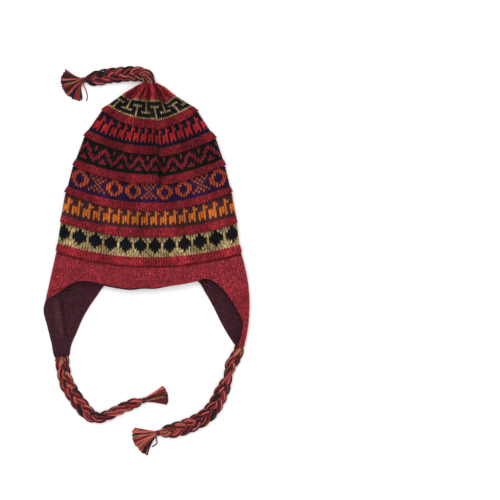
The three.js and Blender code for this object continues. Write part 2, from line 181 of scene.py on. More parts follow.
# Cords: the middle line, its width and its thickness
CORDS = {
    "top_braid": [
        (4.3, 186.4, 9.5, 16.0, 12.0),
        (3.2, 191.2, 8.9, 17.0, 12.4),
        (-4.6, 196.0, 7.0, 18.0, 12.5),
        (-20.0, 197.1, 6.3, 19.5, 12.4),
        (-39.5, 195.3, 6.2, 19.5, 12.2),
        (-54.6, 193.6, 6.1, 20.0, 12.2),
        (-69.2, 190.4, 6.0, 19.5, 12.0),
        (-81.6, 188.8, 5.6, 12.0, 10.5),
    ],
    "left_tie": [
        (-113.7, -185.8, 5.2, 19.0, 10.0),
        (-112.0, -199.8, 5.8, 18.0, 11.4),
        (-108.3, -216.7, 6.0, 18.5, 11.8),
        (-102.9, -228.2, 6.0, 19.0, 11.8),
        (-94.8, -240.3, 6.0, 19.0, 11.8),
        (-85.7, -252.5, 6.0, 19.0, 11.8),
        (-76.6, -262.2, 6.2, 17.5, 12.2),
        (-65.8, -266.9, 6.6, 14.0, 13.0),
        (-56.4, -265.0, 6.7, 13.5, 13.2),
        (-46.0, -260.6, 6.7, 13.5, 13.2),
        (-32.2, -253.6, 6.6, 13.5, 13.0),
        (-17.1, -247.6, 6.2, 14.0, 12.4),
        (-5.6, -244.0, 5.6, 11.5, 10.5),
    ],
    "right_tie": [
        (126.0, -172.3, 6.0, 13.0, 11.0),
        (122.0, -182.9, 6.0, 15.0, 11.6),
        (114.9, -194.4, 6.0, 15.5, 11.8),
        (111.7, -204.4, 6.4, 12.5, 12.6),
        (110.0, -213.3, 6.4, 12.0, 12.6),
        (105.4, -224.5, 6.0, 17.0, 11.8),
        (99.6, -237.1, 6.0, 19.0, 11.8),
        (93.0, -250.4, 6.0, 19.5, 11.8),
        (83.4, -262.0, 6.0, 20.0, 11.8),
        (70.9, -270.8, 6.0, 20.0, 11.8),
        (53.4, -278.6, 6.0, 20.0, 11.8),
        (34.8, -284.0, 6.0, 19.0, 11.8),
        (18.6, -286.9, 5.6, 12.5, 10.5),
    ],
}
# Tassels: their cord, heading and spread in degrees, length, number of yarns and locks in order of heading
FANS = {
    "top": (
        "top_braid", 210, 132, 28.3, 105,
        "charcoal wine coral charcoal wine tan_yarn brick_red wine "
        "charcoal brick_red coral ink ink wine brick_red",
    ),
    "left": (
        "left_tie", 14, 56, 30.6, 72,
        "wine charcoal wine brick_red charcoal tan_yarn ink wine "
        "coral charcoal brick_red coral charcoal coral",
    ),
    "right": (
        "right_tie", 207, 88, 32.6, 91,
        "coral brick_red charcoal tan_yarn ink coral brick_red wine ink wine "
        "coral coral tan_yarn coral brick_red coral wine charcoal",
    ),
}
# Single ends that stray from a tassel: yarn and places on the way out, and the heights there
STRAYS = {
    "top": ("brick_red", [(-85.6, 185.0), (-81.6, 175.5), (-79.4, 168.0), (-80.6, 160.2)]),
    "left": ("coral", [(0.5, -243.0), (9.0, -238.0), (17.0, -231.0), (22.0, -224.6)]),
    "right": ("wine", [(13.2, -288.5), (13.6, -295.0), (14.6, -301.0), (8.2, -306.4)]),
}
STRAY_HEIGHTS = (4.0, 3.0, 1.6, 1.2)

# Charts of the bands, one letter a stitch, from the top row down. The letters are explained at each band.
GREEK_KEY = [
    "tttttttttt",
    "kkkkkkktkk",
    "kkkkkkktkk",
    "tttttkktkk",
    "kktkkkktkk",
    "kktkkkktkk",
    "kktkkttttt",
    "kktkkkkkkk",
    "kktkkkkkkk",
    "tttttttttt",
]
LLAMA = [
    "..#.",
    "..##",
    "..#.",
    "###.",
    "###.",
    "###.",
    "#.#.",
]
ZIGZAG = [
    "#...#...",
    "##..#..#",
    ".##...##",
    "..#...#.",
    "..##.##.",
    "#..###..",
    "##..#..#",
]
RING = [
    "..###..",
    ".##.##.",
    "##...##",
    "##...##",
    "##...##",
    ".##.##.",
    "..###..",
]
CHECKER = [
    "omomomo",
    "momomom",
    ".momom.",
    "..mom..",
    ".momom.",
    "momomom",
    "omomomo",
]
RINGS_AND_CHECKERS = [f"{ring}.{ring}{dots}" for ring, dots in zip(RING, CHECKER)]
DIAMOND = [
    "..#...",
    ".###..",
    "#####.",
    "#####.",
    "#####.",
    ".###..",
    "..#...",
]
# Bands: stitches round, chart, phase of the chart in stitches, plain rows below it, and the yarn of each
# letter, that of the ground first. They are knitted flat and seamed at the back, so the stitches need not be
# whole repeats.
BANDS = {
    "key": (80, GREEK_KEY, 8.2, 0, {"t": "olive", "k": "black"}),
    "small_llama": (124, LLAMA, 1.59, 2, {".": "navy", "#": "scarlet"}),
    "zigzag": (131, ZIGZAG, 5.88, 2, {".": "moss", "#": "garnet"}),
    "ring": (136, RINGS_AND_CHECKERS, 19.33, 2, {".": "purple", "#": "rust", "m": "plum", "o": "salmon"}),
    "llama": (144, LLAMA, 2.1, 2, {".": "brown", "#": "orange"}),
    "diamond": (144, DIAMOND, 4.72, 2, {".": "tan", "#": "black"}),
}
# How far single stitches of a yarn stray from its colour, and those of any other yarn
HEATHER = {"tan": 0.5, "olive": 0.42, "brick": 0.36, "cap": 0.36, "brim": 0.3}
PLAIN_HEATHER = 0.2
# The red of the welts is scaled tier by tier, mostly darker towards the top.
WELT_LIGHT = {
    "key": 0.77,
    "small_llama": 0.585,
    "zigzag": 0.77,
    "ring": 0.92,
    "llama": 0.98,
    "diamond": 1.2,
}

# Yarns of the three strands of a plait, in order round each strand
STRANDS = [
    "coral brick_red charcoal coral wine tan_yarn brick_red charcoal "
    "wine coral brick_red wine charcoal ink brick_red wine",
    "charcoal brick_red ink charcoal coral charcoal wine charcoal "
    "tan_yarn brick_red charcoal ink wine charcoal charcoal ink",
    "wine coral charcoal brick_red wine charcoal tan_yarn charcoal "
    "brick_red coral wine charcoal wine brick_red ink wine",
]
# The ties are brighter than the top braid: every fourth yarn of their strands is one of these.
TIE_YARNS = ("coral", "brick_red", "coral")


def yarn(label, text, code):
    """A yarn's colour, from its hex code."""
    return FloatVectorProperty(
        name=label, description=text, subtype="COLOR", size=3, min=0, max=1, default=linear(code)
    )


def length(label, text, default, low, high):
    """A size with its limits, all given in millimetres."""
    return FloatProperty(
        name=label, description=text, default=default * MM, min=low * MM, max=high * MM, unit="LENGTH"
    )


class ChulloYarns(bpy.types.PropertyGroup):
    """Colours of the yarns."""

    brick: yarn("Welts", "Heather red of the rolled welts", "92252f")
    brim: yarn("Brim", "Heather red of the brim and the flaps", "9c3039")
    cap: yarn("Cap", "Red of the gathered cap", "9b2932")
    tan: yarn("Tan", "Mottled tan of the diamond band", "a99065")
    olive: yarn("Olive tan", "Mottled tan of the key band", "967f58")
    black: yarn("Black", "Black of the key and the diamonds", "111518")
    navy: yarn("Navy", "Ground of the small llamas", "141427")
    scarlet: yarn("Scarlet", "The small llamas", "af2726")
    moss: yarn("Moss black", "Ground of the zigzag", "111715")
    garnet: yarn("Garnet", "The zigzag", "84212e")
    purple: yarn("Purple", "Ground of the rings", "2e183f")
    rust: yarn("Rust", "The rings", "b94c2b")
    plum: yarn("Plum", "Ground of the checkers", "3d1830")
    salmon: yarn("Salmon", "Dots of the checkers", "9d4c3b")
    brown: yarn("Brown", "Ground of the large llamas", "482930")
    orange: yarn("Orange", "The large llamas", "d16f2a")
    maroon: yarn("Lining", "Dark maroon of the lining", "3e1f27")
    coral: yarn("Coral", "Coral of the plaits", "a74d46")
    brick_red: yarn("Brick red", "Brick red of the plaits", "842523")
    wine: yarn("Wine", "Wine red of the plaits", "551a23")
    charcoal: yarn("Charcoal", "Charcoal of the plaits", "1c1818")
    ink: yarn("Ink", "Ink blue of the plaits", "151722")
    tan_yarn: yarn("Tan yarn", "Single tan yarns of the plaits", "8a764c")


class ChulloSizes(bpy.types.PropertyGroup):
    """Sizes of the stitches and yarns."""

    row_height: length("Row", "Height of a row of stitches", 3.1, 0.8, 4)
    relief: length("Relief", "How far a stitch's legs stand out", 1.1, 0, 2)
    plait_pitch: length("Plait", "Length of one whole turn of a plait", 40, 10, 100)
    yarn_radius: length("Yarn", "Radius of a yarn of the plaits", 0.8, 0.3, 4)
    brim_stitches: IntProperty(
        name="Brim stitches", description="Stitches round the brim", default=156, min=80, max=300
    )
    welt_rows: IntProperty(name="Welt rows", description="Rows of a rolled welt", default=7, min=4, max=12)


def smooth(t):
    t = np.clip(t, 0, 1)
    return t * t * (3 - 2 * t)


def mix(a, b, t):
    return a + (b - a) * t


def bell(x, wide):
    return np.exp(-((x / wide) ** 2))


def unit(v):
    """Vectors of length 1 with the directions of v."""
    return v / np.maximum(np.linalg.norm(v, axis=-1, keepdims=True), 1e-9)


# Shape of the cloth

# The crease of the front, in shares of half its width: its dent, the crack beside the dent, how far off
# that is and how much deeper, and the step down behind it with its start, its width and how far it goes on
DENT_WIDE = 0.06
CRACK_WIDE = 0.02
CRACK_OFF = 0.012
CRACK_DEEP = 1.3
STEP_LEAD = 0.035
STEP_WIDE = 0.05
STEP_RUN = 0.7
STEP_FROM = CREASE_AT - 0.04


def crowded(share):
    """The stitches of a pressed row crowd a little towards its middle."""
    return 0.94 * share + 0.06 * share**3


def on_loop(row, s, depth=0.0):
    """Points at the shares s of the way round one row, from the middle of the back by the right side."""
    xl, yl, xr, yr, ym, fold, top, bed, crease = row
    half, middle = (xr - xl) / 2, (xr + xl) / 2
    fold = min(fold, half * 0.92)
    flat = half - fold
    run = np.mod(s, 1) * (4 * flat + 2 * math.pi * fold)
    ends = np.cumsum([flat, math.pi * fold, 2 * flat, math.pi * fold])
    zone = np.searchsorted(ends, run, side="right")
    right, front, left = zone == 1, zone == 2, zone == 3
    share = np.select(
        [zone == 0, right, front, left],
        [run / flat, 1.0, 1 - (run - ends[1]) / flat, -1.0],
        (run - ends[3]) / flat - 1,
    )
    share = crowded(share)
    turn = np.select([right, left], [(run - ends[0]) / fold, math.pi - (run - ends[2]) / fold], 0)
    side = np.select([right, left], [1.0, -1.0], 0.0)
    x = middle + share * flat + side * (fold - depth) * np.sin(turn)
    puffed = bed + 2 * fold + max(0, top - bed - 2 * fold) * (1 - share**2) - depth
    bent = bed + fold - (fold - depth) * np.cos(turn)
    z = np.where(side != 0, bent, np.where(front, puffed, bed + depth))
    across = np.clip((x - middle) / half, -1, 1)
    y = mix(yl, yr, (across + 1) / 2) + (ym - (yl + yr) / 2) * (1 - across**2)
    past = share - CREASE_AT
    creased = crease * front
    dent = (bell(past, DENT_WIDE) + CRACK_DEEP * bell(past - CRACK_OFF, CRACK_WIDE)) * creased
    step = creased * smooth((past + STEP_LEAD) / STEP_WIDE) * np.maximum(0, 1 - past / STEP_RUN)
    step = np.where(share > STEP_FROM, step, 0)
    return np.stack([x, y - CREASE_STEP * step, z - CREASE_DEPTH * dent], -1)


def in_crease(x, row):
    """How deep in the crease a point of the front lies, from 0 to 1."""
    half, middle = (row[2] - row[0]) / 2, (row[2] + row[0]) / 2
    return bell((x - middle) / (half - FOLD_RADIUS) - CREASE_AT - CRACK_OFF, 0.03)


def level(outline, top, rise, crease):
    """A row of a tier that stands out by a share of a welt's rise."""
    fold = FOLD_RADIUS + rise * WELT_RISE / 2
    return np.array([*outline, fold, top + rise * WELT_RISE, BAND_BED * (1 - rise), crease])


def welt_level(name, way):
    """The row of a tier's welt at a share of the welt's rows."""
    foot, lip, top, crease = TIERS[name]
    down, out, rise = (np.interp(way, WELT_SECTION[:, 0], WELT_SECTION[:, i]) for i in (1, 2, 3))
    share = np.array([out, down, out, down, down])
    return level(mix(np.array(foot), np.array(lip), share), top, rise, crease)


def station_share(on, at):
    """Where a station of the edge lies on the brim's loop, as a share of the way round."""
    if on in ("front", "back"):
        even = np.linspace(-1, 1, 2001)
        at = np.interp(at, crowded(even), even)
    turn = math.radians(at) * FOLD_RADIUS
    run = {
        "back": at * BRIM_FLAT,
        "right": BRIM_FLAT + turn,
        "front": BRIM_FLAT + BRIM_BEND + (1 - at) * BRIM_FLAT,
        "left": 3 * BRIM_FLAT + 2 * BRIM_BEND - turn,
    }[on]
    return (run / BRIM_ROUND) % 1


def curve_through(points, count):
    """A smooth line through points, count steps to a span."""
    points = np.asarray(points, float)
    pad = np.vstack([2 * points[0] - points[1], points, 2 * points[-1] - points[-2]])
    t = np.linspace(0, 1, count, endpoint=False)[:, None]
    spans = []
    for i in range(len(points) - 1):
        a, b, c, d = pad[i : i + 4]
        square, cube = 2 * a - 5 * b + 4 * c - d, 3 * b - a - 3 * c + d
        spans.append(0.5 * (2 * b + (c - a) * t + square * t**2 + cube * t**3))
    return np.vstack([*spans, points[-1:]])


# The lining against the outer edge: how far it rolls out on the left flap, and stays back behind that
HEM_ROLL = 2.0
HEM_BACK = 2.3
# Where it shows under the front rim: the middle, the way to either side and the lowest place
RIM_MIDDLE, RIM_WAY, RIM_LOW = -28, 40, -94
# From where on the way down it is sewn to the outer knit, and from where it is rolled out
HEM_FROM, ROLL_FROM = 0.88, 0.97


class Brim:
    """The cloth from the last welt to the edge, as lines that run down from the brim's loop to the edge."""

    # Columns of the stations: share of the loop, point, turn, bow, reach past the outer edge and share of
    # the roll
    POINT, TURN, BOW, REACH, ROLL = (1, 2, 3), 4, 5, 6, 7

    def __init__(self, hem):
        self.hem = hem
        table = []
        for on, at, x, y, *more in EDGE:
            first = {"front": 180, "back": 0}.get(on, at)
            z, turn, bow = (*more, *(0.0, first, 0)[len(more) :])
            # The lining rolls out over the lower edge of the left flap.
            roll = float(on == "left" and at < 130)
            reach = self.reach(on, x, y, turn, roll) if hem else 0.0
            table.append((station_share(on, at), x, y, z, turn, bow, reach, roll))
        table = np.array(table)
        start = int(np.argmin(table[:, 0]))
        table = np.roll(table, -start, axis=0)
        ahead, behind = table.copy(), table.copy()
        ahead[:, 0] += 1
        behind[:, 0] -= 1
        self.line = curve_through(np.vstack([behind[-3:], table, ahead[:3]]), 12)
        self.order = np.maximum.accumulate(self.line[:, 0] + np.arange(len(self.line)) * 1e-9)
        self.dense = np.linspace(0, 1, 3001)
        self.lengths = self.length(self.dense)

    def reach(self, on, x, y, turn, roll):
        """How far the lining goes past the outer knit: down under the front rim and out on the left flap."""
        if roll:
            return HEM_ROLL
        if on == "back" and -110 < x < -56:
            return -HEM_BACK
        if turn == 180 and y > RIM_LOW:
            return HEM_DROP * float(np.clip(1.6 - abs(x - RIM_MIDDLE) / RIM_WAY, -0.2, 1))
        return -HEM_INSET

    def at(self, s, column):
        return np.interp(s, self.order, self.line[:, column])

    def ends(self, s):
        start = on_loop(BRIM_TOP, s)
        end = np.stack([self.at(s, i) for i in self.POINT], -1)
        end[..., :2] += unit((end - start)[..., :2]) * self.at(s, self.REACH)[..., None]
        return start, end

    def point(self, s, along, depth=0.0):
        start, end = self.ends(s)
        bend = (start + end) / 2
        bend[..., 0] += self.at(s, self.BOW)
        t = along[..., None]
        p = (1 - t) ** 2 * start + 2 * t * (1 - t) * bend + t**2 * end
        turn = np.radians(mix(self.first(s), self.at(s, self.TURN), along))
        inward = np.where(p[..., 0] < 0, 1, -1)
        if self.hem:
            # Sewn to the outer knit along the edge, and rolled out over it on the left flap
            rolled = self.at(s, self.ROLL)
            sewn_from = mix(HEM_FROM, ROLL_FROM, rolled)
            near_edge = smooth((along - sewn_from) / mix(0.12, 0.03, rolled))
            depth = depth - near_edge * mix(0.9, depth + 0.7, rolled)
        p[..., 0] += depth * inward * np.sin(turn)
        p[..., 2] += depth * np.cos(turn)
        return p

    def first(self, s):
        """How far the cloth is turned over at the brim's loop."""
        folds = np.array([1, 1, 3, 3]) * BRIM_FLAT + np.array([0, 1, 1, 2]) * BRIM_BEND
        return np.interp(np.mod(s, 1) * BRIM_ROUND, folds, [0, 180, 180, 0])

    def length(self, s):
        steps = np.linspace(0, 1, 13)
        line = np.stack([self.point(s, np.full_like(s, t)) for t in steps])
        return np.linalg.norm(np.diff(line, axis=0), axis=-1).sum(0)


# Points of a mesh to a row of stitches, to a stitch of the front and to one of the back
ROW_PARTS, FRONT_PARTS, BACK_PARTS = 3, 6, 2
# The back lies on the surface and goes that share of the way round to either side of its middle.
BACK_SHARE = 0.19
# The brim's loop as it is knitted, how far below the last welt the flaps part from the rim, the way on which
# their stitches come back to their own width, the stitches beside a flap that may come in, and the cut edge
LOOP_LENGTH = 516.0
FLAPS_FROM = 36.0
FLAPS_EVEN = 26.0
FLAP_GUESTS = 8
CUT = 0.3
# The way from the brim's loop up to the last welt's foot, and how deep the rows tucked in there lie
TUCK_WAY = 13.0
TUCK_DEPTH = 0.3


def brim_grid(brim, u, count, row, depth, tucked):
    """Points of the brim and both flaps at part rows and part stitches, with the marks of those on the edge.

    Rows run at even distances below the last welt. Below the rim they go on in the flaps alone, where the
    stitches keep their width and the outer ones are dropped at the edge."""
    share = u / count
    own = np.interp(share, brim.dense, brim.lengths)
    rows = np.arange(-tucked, brim.lengths.max() + row / ROW_PARTS, row / ROW_PARTS)
    wide = LOOP_LENGTH / count
    foot, _, top, crease = TIERS["diamond"]
    foot = level(foot, top, 0, crease)
    flaps = []
    for side in (brim.dense < 0.5, brim.dense >= 0.5):
        found = brim.dense[(brim.lengths > FLAPS_FROM) & side]
        flaps.append((found.min(), found.max()))
    points = np.zeros((len(rows), len(u), 3))
    where = np.zeros((len(rows), len(u)))
    edge = np.zeros((len(rows), len(u)), bool)
    for k, d in enumerate(rows):
        if d < 0:
            # The first rows are tucked in under the last welt.
            points[k] = on_loop(mix(BRIM_TOP, foot, -d / TUCK_WAY), share, depth + TUCK_DEPTH)
        else:
            points[k] = brim.point(share, np.clip(d / own, 0, 1), depth)
        where[k] = share
        edge[k] = d >= own
        if d <= FLAPS_FROM:
            continue
        for low, high in flaps:
            # Stitches from beside the flap come in at its edge where it is wider than its own.
            mine = (share > low - FLAP_GUESTS / count) & (share < high + FLAP_GUESTS / count)
            s = brim.dense[(brim.dense >= low) & (brim.dense <= high) & (brim.lengths > d)]
            edge[k, mine] = True
            if len(s) < 3:
                points[k, mine], where[k, mine] = points[k - 1, mine], where[k - 1, mine]
                continue
            line = brim.point(s, d / np.interp(s, brim.dense, brim.lengths), depth)
            run = np.concatenate([[0], np.cumsum(np.linalg.norm(np.diff(line, axis=0), axis=-1))])
            centre = (low + high) / 2
            plain = np.interp(share[mine], s, run)
            even = np.interp(centre, s, run) + (u[mine] - centre * count) * wide
            place = mix(plain, even, smooth((d - FLAPS_FROM) / FLAPS_EVEN))
            place = np.where(place < CUT, 0, np.where(place > run[-1] - CUT, run[-1], place))
            held = np.clip(place, 0, run[-1])
            for i in range(3):
                points[k, mine, i] = np.interp(held, run, line[:, i])
            where[k, mine] = np.interp(held, run, s)
            edge[k, mine] = (place <= 0) | (place >= run[-1])
    return points, where, edge, (rows + tucked) / row


# Meshes


class Cloth:
    """Collects the points with their shares of painted light, faces, colours and bake places of one mesh, in
    millimetres.
    """

    def __init__(self):
        self.points, self.heights, self.faces, self.colours, self.places = [], [], [], [], []
        self.count = 0
        self.area = 0.0

    def add_points(self, points, heights=0.0):
        points = np.asarray(points, float).reshape(-1, 3)
        self.points.append(points)
        self.heights.append(np.broadcast_to(heights, len(points)).astype(float))
        self.count += len(points)
        return np.arange(self.count - len(points), self.count)

    def add_faces(self, faces, colours, places):
        faces = np.asarray(faces).reshape(-1, 4)
        self.faces.append(faces)
        self.colours.append(np.broadcast_to(colours, (len(faces), 3)))
        self.places.append(np.asarray(places, float).reshape(-1, 4, 2))

    def build(self, name, material):
        """Makes the object. A face whose last corner is -1 is a triangle."""
        points, heights = np.vstack(self.points), np.concatenate(self.heights)
        faces, colours, places = (np.vstack(part) for part in (self.faces, self.colours, self.places))
        if not len(faces) or not np.isfinite(points).all():
            raise RuntimeError(f"{name} came out without faces or with a point that is nowhere")
        sides = np.where(faces[:, 3] < 0, 3, 4)
        used = np.arange(4)[None, :] < sides[:, None]
        # Points of no face are left out, and what lies on the floor is pressed flat.
        shown, faces[used] = np.unique(faces[used], return_inverse=True)
        points, heights = points[shown], heights[shown]
        points[:, 2] = np.maximum(points[:, 2], 0.0)
        starts = np.concatenate([[0], np.cumsum(sides)[:-1]])
        mesh = bpy.data.meshes.new(name)
        mesh.vertices.add(len(points))
        mesh.vertices.foreach_set("co", (points * MM).astype(np.float32).ravel())
        mesh.loops.add(int(sides.sum()))
        mesh.loops.foreach_set("vertex_index", faces[used].astype(np.int32))
        mesh.polygons.add(len(faces))
        mesh.polygons.foreach_set("loop_start", starts.astype(np.int32))
        mesh.polygons.foreach_set("use_smooth", np.ones(len(faces), bool))
        layer = mesh.uv_layers.new(name="OFBake")
        layer.data.foreach_set("uv", places[used].astype(np.float32).ravel())
        tint = mesh.attributes.new("yarn_colour", "FLOAT_COLOR", "FACE")
        colours = np.hstack([colours, np.ones((len(colours), 1))])
        tint.data.foreach_set("color", colours.astype(np.float32).ravel())
        # Each point's share of light, which the material paints into the colour as shade
        height = mesh.attributes.new("painted_light", "FLOAT", "POINT")
        height.data.foreach_set("value", heights.astype(np.float32))
        mesh.update(calc_edges=True)
        mesh.validate()
        mesh.materials.append(material)
        piece = bpy.data.objects.new(name, mesh)
        bpy.context.scene.collection.objects.link(piece)
        return piece


def faces_of(ids, flip):
    """Quads of a grid of point numbers that closes round, as four numbers in order round each face."""
    right = np.roll(ids, -1, axis=1)
    a, b, c, d = ids[:-1], right[:-1], right[1:], ids[1:]
    return np.stack([a, d, c, b] if flip else [a, b, c, d], -1)


def edges_of(faces):
    """Start, end and face of each side of faces that may be triangles, and a number for it both ways."""
    after = np.roll(faces, -1, axis=1)
    three = faces[:, 3] < 0
    after[three, 2] = faces[three, 0]
    used = faces >= 0
    here, there = faces[used].astype(np.int64), after[used].astype(np.int64)
    size = int(faces.max()) + 1
    return here, there, np.nonzero(used)[0], here * size + there, there * size + here


def tidy(faces, keep):
    """Drops flat faces and turns quads with a doubled corner into triangles.

    Gives the faces, the corners that stay and the numbers of the faces that stay."""
    faces = faces.copy()
    corners = np.tile(np.arange(4), (len(faces), 1))
    for i in range(4):
        doubled = (faces[:, i] == faces[:, (i + 1) % 4]) & (faces[:, 3] >= 0)
        order = [(i + 1 + k) % 4 for k in range(3)]
        faces[doubled, :3] = faces[doubled][:, order]
        corners[doubled, :3] = corners[doubled][:, order]
        faces[doubled, 3] = -1
    a, b, c, d = faces.T
    bad = (d < 0) & ((a == b) | (b == c) | (c == a))
    bad |= (a == c) | (b == d)
    good = np.flatnonzero(keep & ~bad)
    # A side that two faces run along the same way stays with the first of them.
    _, _, owner, ahead, _ = edges_of(faces[good])
    again = np.delete(np.arange(len(owner)), np.unique(ahead, return_index=True)[1])
    good = np.delete(good, owner[again])
    return faces[good], corners[good], good


def normals_of(points, faces):
    """Point normals of faces that may be triangles, and the area of all faces."""
    three = faces[:, 3] < 0
    a, b, c = (points[faces[:, i]] for i in range(3))
    d = points[np.where(three, faces[:, 2], faces[:, 3])]
    across = np.cross(c - a, d - b)
    across[three] = np.cross((b - a)[three], (c - a)[three])
    normals = np.zeros_like(points)
    for i in range(4):
        use = faces[:, i] >= 0
        np.add.at(normals, faces[use, i], across[use])
    return unit(normals), np.linalg.norm(across, axis=1).sum() / 2


# Stitches

# Steps to the corners of a face, along and across
SQUARE = ((0, 0), (0, 1), (1, 1), (1, 0))
# Share of the light on sides that are hidden
HIDDEN = 0.3
# Points that agree to one in so many parts of a millimetre are one, and stitches are flatter on the edge.
WELD_PARTS = 2000
EDGE_RELIEF = 0.4


def part_stitches(count):
    """Places round a loop where points go, and which of them lie on the front, in finer parts."""
    places, fine = [], []
    for c in range(count):
        plain = min(c, count - c) < BACK_SHARE * count
        parts = BACK_PARTS if plain else FRONT_PARTS
        places += [c + i / parts for i in range(parts)]
        fine += [not plain] * parts
    return np.array(places), np.array(fine)


def stitch_heights(u, v, fine, relief, purl, wales):
    """How far each point of a knit stands out: two slanting legs to a stitch, or the wrong side's ridges."""
    part, row = np.mod(u, 1), np.mod(v, 1)
    if purl:
        ridge = np.interp(row, [0, 0.34, 0.67, 1], [0.0, 1.0, 0.85, 0.0])
        bump = np.where(np.abs(part - 0.5) < 0.26, 1.0, 0.45)
        return relief * ridge[:, None] * bump[None, :]
    at = [0, 0.17, 0.33, 0.5, 0.67, 0.83, 1]
    soft = np.interp(part, at, [0.3, 0.65, 1, 0.55, 1, 0.65, 0.3])
    sharp = np.interp(part, at, [0, 0.45, 1, 0.75, 1, 0.45, 0])
    legs = np.where(fine, mix(soft, sharp, wales), np.where(part > 0.25, 0.7, 0))
    return relief * legs * np.interp(row, [0, 0.33, 0.67, 1], [0.02, 1, 0.8, 0.02])[:, None]


def knit(
    cloth, base, u, v, count, fine, relief, colour_at,
    edge=None, purl=False, extra=0.0, shade=None, lean=1.0, wales=1.0,
):
    """Adds a knitted face over a grid of points and gives its point numbers, places, grid and faces.

    shade, from 0 to 1 for each place of the grid, is painted shade that darkens what lies under a fold. lean
    is how many rows the legs of a stitch run down to its middle, and wales how deep the cracks between the
    stitches are."""
    rows, columns = base.shape[:2]
    slant = 0.0 if purl else lean * ROW_PARTS
    shift = slant * (1 - np.abs(2 * np.mod(u, 1) - 1))
    ramp = np.clip(np.arange(rows) / (2 * ROW_PARTS), 0, 1)
    at = np.minimum(np.arange(rows)[:, None] + ramp[:, None] * shift[None, :], rows - 1)
    low = np.floor(at).astype(int)
    high = np.minimum(low + 1, rows - 1)
    part = (at - low)[..., None]
    j = np.arange(columns)[None, :]
    laid = base[low, j] * (1 - part) + base[high, j] * part
    on_edge = np.zeros((rows, columns), bool) if edge is None else edge[low, j] & edge[high, j]
    spots = laid[..., -1].reshape(-1)
    flat = laid[..., :3].reshape(-1, 3)
    # Points that fall together are one, which closes the edge.
    spot_number = np.round(flat * WELD_PARTS).astype(np.int64)
    _, first, number = np.unique(spot_number, axis=0, return_index=True, return_inverse=True)
    number = number.reshape(rows, columns)
    quads = faces_of(number, purl)
    marks = np.bincount(number.reshape(-1), on_edge.reshape(-1)) > 0
    keep = ~marks[quads].all(-1)
    steps, parts = quads.shape[:2]
    faces, corners, good = tidy(quads.reshape(-1, 4), keep.reshape(-1))
    points = flat[first]
    normals, area = normals_of(points, faces)
    cloth.area += area
    heights = (stitch_heights(u, v, fine, relief, purl, wales) + extra).reshape(-1)[first]
    heights = np.where(marks, heights * EDGE_RELIEF, heights)
    # Painted shade: points that lie low in their stitch get less light, and shade darkens them further.
    shown = np.clip(heights / max(relief, 1e-6), 0, 1)
    if shade is not None:
        shown = shown * shade.reshape(-1)[first]
    ids = cloth.add_points(points + normals * heights[:, None], shown)
    k, c = np.divmod(np.arange(steps * parts), parts)
    row, third = np.divmod(np.floor(v[k] * ROW_PARTS + 1e-6).astype(int), ROW_PARTS)
    column, leg = np.divmod(np.floor(u[c] * 2 + 1e-6).astype(int), 2)
    colours = colour_at(row, column, leg, third)
    # The front and the back are baked side by side, above the strip for what is hidden.
    ahead = np.roll(u, -1)
    ahead[-1] = count
    strip = (u[c] >= count / 2).astype(float)
    places = []
    for kk, cc in SQUARE:
        x = (np.where(cc, ahead[c], u[c]) - strip * count / 2) / (count / 2)
        y = 1 - (k + kk) / max(steps, 1)
        places.append(np.stack([0.004 + 0.992 * x, 0.06 + (strip + 0.01 + 0.98 * y) * 0.47], -1))
    places = np.stack(places, 1)
    if purl:
        places = places[:, [0, 3, 2, 1]]
    chosen = np.take_along_axis(places[good], corners[..., None], axis=1)
    cloth.add_faces(np.where(faces < 0, -1, ids[np.maximum(faces, 0)]), colours[good], chosen)
    return ids[number], spots[first], number, faces


def add_hidden(cloth, faces, colour):
    """Adds faces of a hidden side, which share one strip of the bake."""
    good, _, _ = tidy(faces, np.ones(len(faces), bool))
    strip = np.array([(0.1, 0.005), (0.9, 0.005), (0.9, 0.045), (0.1, 0.045)])
    cloth.add_faces(good, colour, np.tile(strip, (len(good), 1, 1)))


def back_with(cloth, rings, colour, flip):
    """Faces between rings of point numbers, one after the other, for the hidden side of a cloth."""
    for near, far in zip(rings[:-1], rings[1:]):
        add_hidden(cloth, faces_of(np.stack([near, far]), flip).reshape(-1, 4), colour)


def zipped(cloth, one, at_one, two, at_two, colour, flip):
    """Triangles between two rings of different point counts, by their places round the loop."""
    faces, i, j = [], 0, 0
    while i < len(one) or j < len(two):
        next_one = at_one[i + 1] if i + 1 < len(one) else 1 + at_one[0]
        next_two = at_two[j + 1] if j + 1 < len(two) else 1 + at_two[0]
        a, b = one[i % len(one)], two[j % len(two)]
        if j >= len(two) or (i < len(one) and next_one <= next_two):
            i += 1
            faces.append((a, one[i % len(one)], b, -1))
        else:
            j += 1
            faces.append((a, two[j % len(two)], b, -1))
    faces = np.array(faces)
    if flip:
        faces[:, :3] = faces[:, [0, 2, 1]]
    add_hidden(cloth, faces, colour)


def rim_of(faces, top, places):
    """Points of the open lower edge in order round the loop, and their places, which only rise."""
    here, there, _, forth, back = edges_of(faces)
    open_edge = ~np.isin(forth, back) & ~(np.isin(here, top) & np.isin(there, top))
    if not open_edge.any():
        raise RuntimeError("the brim has no open lower edge")
    ahead = {}
    for a, b in zip(here[open_edge].tolist(), there[open_edge].tolist()):
        ahead.setdefault(a, []).append(b)
    walks = []
    while ahead:
        walk, trail = [], [next(iter(ahead))]
        while trail:
            if ahead.get(trail[-1]):
                trail.append(ahead[trail[-1]].pop())
            else:
                ahead.pop(trail[-1], None)
                walk.append(trail.pop())
        walks.append(walk)
    ring = np.array(max(walks, key=len)[1:])
    steps = np.mod(np.diff(places[ring]) + 0.5, 1) - 0.5
    ring = ring if steps.sum() > 0 else ring[::-1]
    ring = np.roll(ring, -int(np.argmin(places[ring])))
    return ring, np.maximum.accumulate(places[ring])


